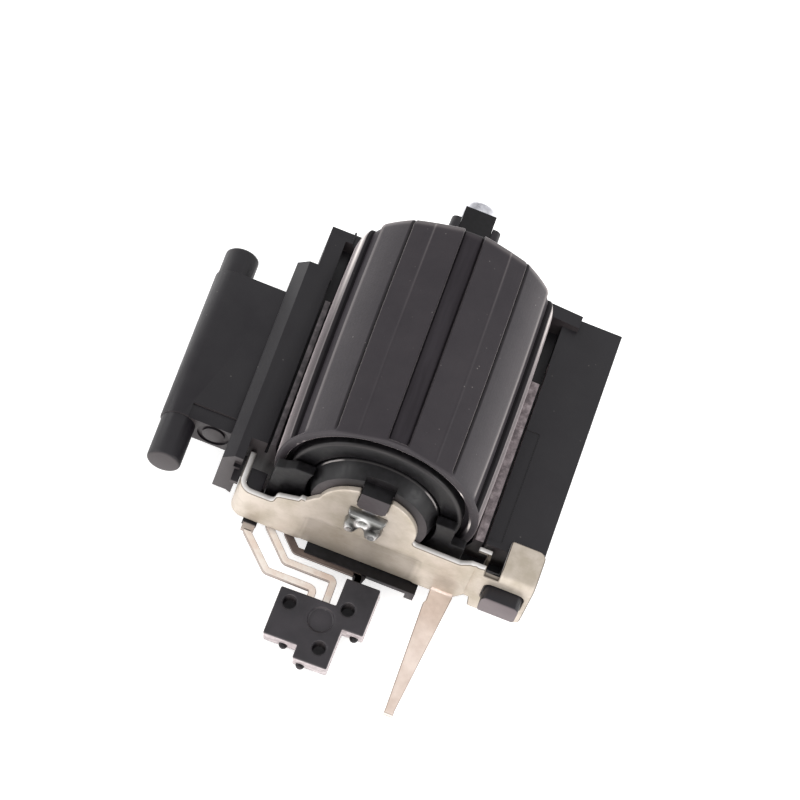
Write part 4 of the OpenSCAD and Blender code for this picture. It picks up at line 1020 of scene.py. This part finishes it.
BLOCK_AT = np.array([1.02, -1.31, LEAD_HIGH + 0.69])
BLOCK_TILT = np.array(Matrix.Rotation(math.radians(-2.4), 3, "Z") @ Matrix.Rotation(math.radians(-7), 3, "Y")
                      @ Matrix.Rotation(math.radians(12), 3, "X"))
BLOCK_T = 1.1
POCKETS, POCKET_R, POCKET_DEEP = np.array([[-2.93, -2.1], [-0.18, -1.48], [-0.8, -3.76]]), 0.36, 0.75
DIMPLE, DIMPLE_R = np.array([-1.22, -2.39]), 0.66
# Each nub's middle in the block's plane and its depth below the face
NUBS, NUB_R = [(-2.53, -3.98, 0.78), (-1.42, -4.64, 0.84), (0.52, -2.48, 0.8)], 0.22


def block_place(u, v, depth):
    """Tilts the block's own plane about the end of the short lead, with a soft round dimple sunk in it."""
    far = np.hypot(u - DIMPLE[0], v - DIMPLE[1]) / DIMPLE_R
    sunk = 0.15 * step((1.03 - far) / 0.14) - 0.05 * np.clip(1 - far, 0, 1)
    p = np.stack([u, v, -depth - sunk * (1 - np.clip(depth, 0, BLOCK_T) / BLOCK_T)], -1)
    return BLOCK_AT + p @ BLOCK_TILT.T


def block_outline():
    """The stepped outline of the block in its own plane."""
    return fillet([[-0.79, 0, 0.08], [0.95, 0, 0.08], [0.95, -2.48, 0.08], [-0.1, -2.48, 0.06],
                   [-0.1, -4.64, 0.08], [-1.83, -4.64, 0.08], [-1.83, -3.98, 0.06], [-3.58, -3.98, 0.08],
                   [-3.58, -1.47, 0.08], [-0.79, -1.47, 0.06]], 4)


def cup_shell(centre):
    """The inside of a round pocket: rows run down its wall, round the floor's corner and in to the middle,
    and back outside it."""
    radius, deep = POCKET_R - 0.03, POCKET_DEEP
    rows = np.array([[radius + 0.06, 0.06], [radius, 0.06], [radius, deep - 0.08],
                     [radius - 0.03, deep - 0.02], [radius - 0.08, deep], [0.02, deep], [0.0, deep],
                     [0.0, deep + 0.1], [radius + 0.06, deep + 0.1], [radius + 0.06, 0.06]])
    a = np.linspace(0, 2 * np.pi, 40, endpoint=False)
    r, d = rows[:, :1], rows[:, 1:]
    verts = block_place(centre[0] + r * np.cos(a), centre[1] + r * np.sin(a), d + 0 * a)
    return verts.reshape(-1, 3), grid_faces(len(rows), 40, True).tolist(), np.zeros(verts.size // 3)


def nub_shell(at):
    """A small dome on the block's front side, in the block's plane: half a ball that is closed behind."""
    a = np.linspace(0, 2 * np.pi, 20, endpoint=False)[None]
    b = np.radians(np.linspace(0, 90, 8))[:, None]
    out = np.concatenate([NUB_R * np.cos(b), [[-0.15]], [[-0.15]]]) + 0 * a
    wide = np.concatenate([NUB_R * np.sin(b), [[NUB_R]], [[0.0]]])
    p = np.stack([at[0] + wide * np.cos(a), at[1] - out, wide * np.sin(a) - at[2]], -1)
    return (p @ BLOCK_TILT.T + BLOCK_AT).reshape(-1, 3), grid_faces(10, 20, True).tolist(), np.zeros(200)


# Values for the panel


def size_property(name, description, default, low, high):
    """A length in millimetres with its range."""
    return bpy.props.FloatProperty(name=name, description=description + ", mm", default=default, min=low,
                                   max=high)


def colour_property(name, description, hex_code):
    """A colour as the display shows it."""
    return bpy.props.FloatVectorProperty(name=name, description=description, default=rgb(hex_code), size=3,
                                         min=0.0, max=1.0, subtype="COLOR_GAMMA")


class EncoderSizes(bpy.types.PropertyGroup):
    """Sizes of the detailed pieces, in millimetres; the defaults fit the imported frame."""
    roller_radius: size_property("Roller radius", "Radius over the sleeve's ends", 5.1, 4.9, 5.15)
    roller_crown: size_property("Crown", "How far the sleeve's middle stands above its ends", 0.1, 0.0, 0.14)
    channel_width: size_property("Channel width", "Width of a finger channel", 1.0, 0.6, 1.5)
    channel_depth: size_property("Channel depth", "Depth of a finger channel", 0.24, 0.1, 0.3)
    groove_depth: size_property("Groove depth", "Depth of the fine groove between channels", 0.12, 0.06, 0.2)
    head_proud: size_property("Staked head", "How far the shaft's head stands out", 0.5, 0.25, 0.6)
    edge_round: size_property("Edge rounding", "Rounding of moulded edges", 0.045, 0.01, 0.1)


class EncoderColours(bpy.types.PropertyGroup):
    """Colours of the finishes as seen in even light."""
    frame_black: colour_property("Frame", "Black glass-filled nylon of the frame", "#130f15")
    block_black: colour_property("Block", "Drier black nylon of the terminal block", "#393539")
    hub_black: colour_property("Hub", "Black acetal of the hub and drum", "#0a090a")
    rubber_black: colour_property("Rubber", "Dark grey rubber of the sleeve", "#262126")
    plate_nickel: colour_property("Plate", "Dull nickel of the end plate", "#cfc4b8")
    lead_tin: colour_property("Leads", "Warm tin on the flat leads", "#fffaf3")
    shaft_steel: colour_property("Shaft", "Bright steel of the shaft", "#e0e0e5")
    # The block sides' colour is a painted reflection of the bright floor over scuffs
    block_side: colour_property("Block sides", "Scuffed side walls of the terminal block", "#b8adae")


# Operators

# The floor in metres: half its side, and how far it lies under the part
FLOOR_HALF, FLOOR_DROP = 1.2, 0.00002
# The photograph's camera: its place in the row frame in millimetres, and its turns in degrees
CAMERA_AT = (-9.98785, -148.48543, 254.21993)
CAMERA_ROUND, CAMERA_ABOVE, CAMERA_ROLL = -3.69, 59.23, 24.5717


class ENCODER_OT_stage(bpy.types.Operator):
    """Makes the pale floor, the sky, the soft lights and the camera at the photograph's viewing angle"""
    bl_idname = "encoder.stage"
    bl_label = "Stage and camera"

    def execute(self, context):
        side = np.linspace(-FLOOR_HALF, FLOOR_HALF, 3)
        x, y = np.meshgrid(side, side)
        verts = np.stack([x, y, np.full(x.shape, -FLOOR_DROP)], -1).reshape(-1, 3)
        mesh = bpy.data.meshes.new("floor")
        mesh.from_pydata(verts.tolist(), [], grid_faces(3, 3).tolist())
        mesh.materials.append(pale_sweep())
        floor = bpy.data.objects.new("floor", mesh)
        context.scene.collection.objects.link(floor)
        self.sky(context.scene)
        self.lamps(context.scene)
        self.camera(context.scene)
        context.scene.view_settings.view_transform = "Standard"
        return {"FINISHED"}

    def sky(self, scene):
        """The tent: white at the horizon and dimmer overhead."""
        world = bpy.data.worlds.new("light tent")
        world.use_nodes = True
        tree = world.node_tree
        tree.nodes.clear()
        height = axes(tree, coordinates(tree, "Generated"))["Z"]
        tone = add(tree, "ShaderNodeValToRGB", {"Fac": height},
                   [(0.0, (1.0, 1.0, 1.0, 1)), (0.35, (0.9, 0.9, 0.9, 1)), (0.85, (0.76, 0.76, 0.77, 1))])
        back = add(tree, "ShaderNodeBackground", {"Color": tone.outputs["Color"], "Strength": 1.0})
        add(tree, "ShaderNodeOutputWorld", {"Surface": back.outputs[0]})
        scene.world = world

    def lamps(self, scene):
        """Square softboxes: name, place and target in the row frame in millimetres, side in mm, radiance."""
        rows = [("left box", (-330, -60, 150), (0, 0, 6), 170, 4.5),
                ("right box", (330, -40, 150), (0, 0, 6), 170, 5.6),
                ("front box", (-40, -330, 160), (0, 0, 4), 180, 2.8),
                ("top box", (40, 160, 330), (0, 0, 6), 200, 0.4)]
        for name, place, target, size, radiance in rows:
            lamp = bpy.data.lights.new(name, "AREA")
            lamp.shape = "SQUARE"
            lamp.size = size * MM
            lamp.energy = radiance * math.pi * (size * MM) ** 2
            made = bpy.data.objects.new(name, lamp)
            made.location = Vector(place) * MM
            made.rotation_mode = "QUATERNION"
            made.rotation_quaternion = (Vector(target) - Vector(place)).to_track_quat("-Z", "Y")
            scene.collection.objects.link(made)

    def camera(self, scene):
        """The photograph's camera, turned round the part, raised above the horizon and rolled."""
        lens = bpy.data.cameras.new("photo camera")
        lens.sensor_width, lens.lens = 36.0, 270.43
        lens.clip_start, lens.clip_end = 0.01, 10.0
        a, e, roll = math.radians(CAMERA_ROUND), math.radians(CAMERA_ABOVE), math.radians(CAMERA_ROLL)
        back = Vector((math.sin(a) * math.cos(e), -math.cos(a) * math.cos(e), math.sin(e)))
        side = Vector((math.cos(a), math.sin(a), 0))
        up = back.cross(side)
        right = side * math.cos(roll) + up * math.sin(roll)
        top = up * math.cos(roll) - side * math.sin(roll)
        turn = Matrix((right, top, back)).transposed()
        made = bpy.data.objects.new("photo camera", lens)
        made.matrix_world = Matrix.Translation(Vector(CAMERA_AT) * MM) @ turn.to_4x4()
        scene.collection.objects.link(made)
        scene.camera = made


class ENCODER_OT_mouldings(bpy.types.Operator):
    """Makes the moulded frame and hubs with rounded edges, two thin ledges and the web behind the plate"""
    bl_idname = "encoder.mouldings"
    bl_label = "Mouldings"

    def execute(self, context):
        width = context.scene.encoder_sizes.edge_round
        patches = ((finish("dark lip"), LEFT_LIP), (finish("lip"), RIGHT_LIP), (finish("boss"), BOSS))
        bevelled_copy("base_frame", "moulded_frame", finish("nylon"), width, patches)
        bevelled_copy("contact_hub", "front_hub", finish("acetal"), width)
        bevelled_copy("rear_hub", "rear_bearing", finish("acetal"), width)
        ledges = [sheet_shell(ledge, [], 0.25, 0.03, lying_flat(LEDGE_TOP), mark=PLAIN)
                  for ledge in frame_ledges()]
        make_piece("frame_ledges", ledges, [finish("nylon")], "frame")
        webs = [sheet_shell(web, [], 0.5, 0.04, facing_front(WEB_FRONT), 0.25, mark=PLAIN)
                for web in hub_webs()]
        make_piece("hub_webs", webs, [finish("acetal")], "frame")
        return {"FINISHED"}


class ENCODER_OT_inner_parts(bpy.types.Operator):
    """Gives the parts inside the roller, which stay as they are, their finishes, and makes the click ball"""
    bl_idname = "encoder.inner_parts"
    bl_label = "Inner parts"

    def execute(self, context):
        kinds = {"brass": ("wiper_common", "wiper_a", "wiper_b", "code_pattern", "thrust_washer"),
                 "steel": ("detent_spring", "rear_washer"),
                 "acetal": ("detent_ring", "code_disc")}
        for kind, nodes in kinds.items():
            for node in nodes:
                finish_node(node, finish(kind))
        make_piece("click_ball", [ball_shell()], [finish("steel")], "frame", ("detent_ball",),
                   smooth=60)
        return {"FINISHED"}


class ENCODER_OT_roller(bpy.types.Operator):
    """Makes the channelled rubber sleeve and the drum under it, which turn together"""
    bl_idname = "encoder.roller"
    bl_label = "Roller"

    def execute(self, context):
        sizes = context.scene.encoder_sizes
        make_piece("rubber_sleeve", [sleeve_shell(sizes)], [finish("rubber"), finish("channel")], "roller",
                   ("roller_sleeve",), smooth=50)
        make_piece("drum", [drum_shell(sizes)], [finish("acetal")], "roller",
                   ("roller_core",))
        return {"FINISHED"}


class ENCODER_OT_plate(bpy.types.Operator):
    """Makes the stamped end plate with its rolled flange, folded tab with a tongue, and tapered leg"""
    bl_idname = "encoder.plate"
    bl_label = "End plate"

    def execute(self, context):
        points, faces, marks = sheet_shell(plate_outline(), [boss_hole()], PLATE_T, 0.06, plate_place, 0.16,
                                           0.09, relief_points())
        main = points, faces, plate_marks(points, marks)
        leg = sheet_shell(leg_outline(), [], PLATE_T - 0.001, 0.05, leg_place, 0.16, 0.08)
        make_piece("end_plate", [main, (*leg, 1), *tongue_shells()], [finish("plate"), finish("leg")],
                   "frame", ("front_plate",))
        return {"FINISHED"}


class ENCODER_OT_shaft(bpy.types.Operator):
    """Makes the ground steel shaft with its staked front head and rounded rear end"""
    bl_idname = "encoder.shaft"
    bl_label = "Shaft"

    def execute(self, context):
        make_piece("steel_shaft", [rod_shell(), (*head_shell(context.scene.encoder_sizes), 1)],
                   [finish("steel"), finish("head")], "frame", ("shaft",), smooth=60)
        return {"FINISHED"}


class ENCODER_OT_leads(bpy.types.Operator):
    """Makes the three flat leads from the hub's foot to the terminal block"""
    bl_idname = "encoder.leads"
    bl_label = "Leads"

    def execute(self, context):
        for name, route in ROUTES.items():
            shells, materials = [lead_shell(strip_ring(route, LEAD_WIDE), 0.035)], [finish("lead")]
            if name == "lead_a":
                # Lead a's root, which runs under the plate's lower edge, is darkened: painted shade
                root = [[-5.36, -0.52, 0.05], [-4.74, -0.52, 0.05], [-4.74, 0.8, 0], [-5.36, 0.8, 0]]
                points, faces, marks = lead_shell(fillet(root, 3))
                shells.append((points, faces, np.where(marks == 0, -0.2, marks)))
            if name == "lead_common":
                materials = [finish("dark lead"), finish("nylon")]
                # A black sheet beside the common lead's bend stands in for the lead's shadow: painted shade
                shadow_sheet = [[0.42, -0.5, 0.04], [0.59, -1.0, 0.06], [0.97, -1.0, 0.06], [1.14, -0.5, 0.04]]
                shells.append((*lead_shell(fillet(shadow_sheet, 4)), 1))
            make_piece("flat_" + name, shells, materials, "frame", (name,))
        return {"FINISHED"}


class ENCODER_OT_block(bpy.types.Operator):
    """Makes the stepped terminal block with its three pockets, dimple, side walls painted pale as a painted
    reflection, and small nubs
    """
    bl_idname = "encoder.block"
    bl_label = "Terminal block"

    def execute(self, context):
        outline, holes = block_outline(), [circle_ring(p, POCKET_R) for p in POCKETS]
        rim = np.vstack([circle_ring(DIMPLE, r * DIMPLE_R, 36) for r in (0.86, 0.93, 1.0, 1.06)])
        points, faces, marks = sheet_shell(outline, holes, BLOCK_T, 0.06, block_place, 0.2, 0.1, rim,
                                           PALE_WALL_ONLY)
        # Of the 12 rows of faces round the outline, those behind the front edge's 4 are the side walls,
        # painted pale as a painted reflection
        ring = len(resample(outline, 0.1))
        number = np.zeros(len(faces), int)
        number[4 * ring : 12 * ring] = 1
        shells = [(points, faces, marks, number), *[cup_shell(p) for p in POCKETS],
                  *[(*nub_shell(at), 2) for at in NUBS]]
        make_piece("contact_block", shells, [finish("block"), finish("side"), finish("acetal")], "frame",
                   ("terminal_block",))
        return {"FINISHED"}


class ENCODER_PT_panel(bpy.types.Panel):
    """Lists the encoder's sizes, colours and steps in the sidebar"""
    bl_idname = "ENCODER_PT_panel"
    bl_label = "Roller Encoder"
    bl_space_type = "VIEW_3D"
    bl_region_type = "UI"
    bl_category = "Encoder"

    def draw(self, context):
        for group in (context.scene.encoder_sizes, context.scene.encoder_colours):
            for name in group.__annotations__:
                self.layout.prop(group, name)
        for operator in STEPS:
            self.layout.operator(operator.bl_idname)


STEPS = (ENCODER_OT_stage, ENCODER_OT_mouldings, ENCODER_OT_inner_parts, ENCODER_OT_roller, ENCODER_OT_plate,
         ENCODER_OT_shaft, ENCODER_OT_leads, ENCODER_OT_block)
CLASSES = (EncoderSizes, EncoderColours, *STEPS, ENCODER_PT_panel)


def register():
    """Makes the classes and the scene's two groups of values known."""
    for kind in CLASSES:
        bpy.utils.register_class(kind)
    bpy.types.Scene.encoder_sizes = bpy.props.PointerProperty(type=EncoderSizes)
    bpy.types.Scene.encoder_colours = bpy.props.PointerProperty(type=EncoderColours)


def unregister():
    """Takes them away again."""
    del bpy.types.Scene.encoder_colours
    del bpy.types.Scene.encoder_sizes
    for kind in reversed(CLASSES):
        bpy.utils.unregister_class(kind)


def main():
    register()
    for operator in STEPS:
        group, name = operator.bl_idname.split(".")
        getattr(getattr(bpy.ops, group), name)()
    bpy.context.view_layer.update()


if __name__ == "__main__":
    main()
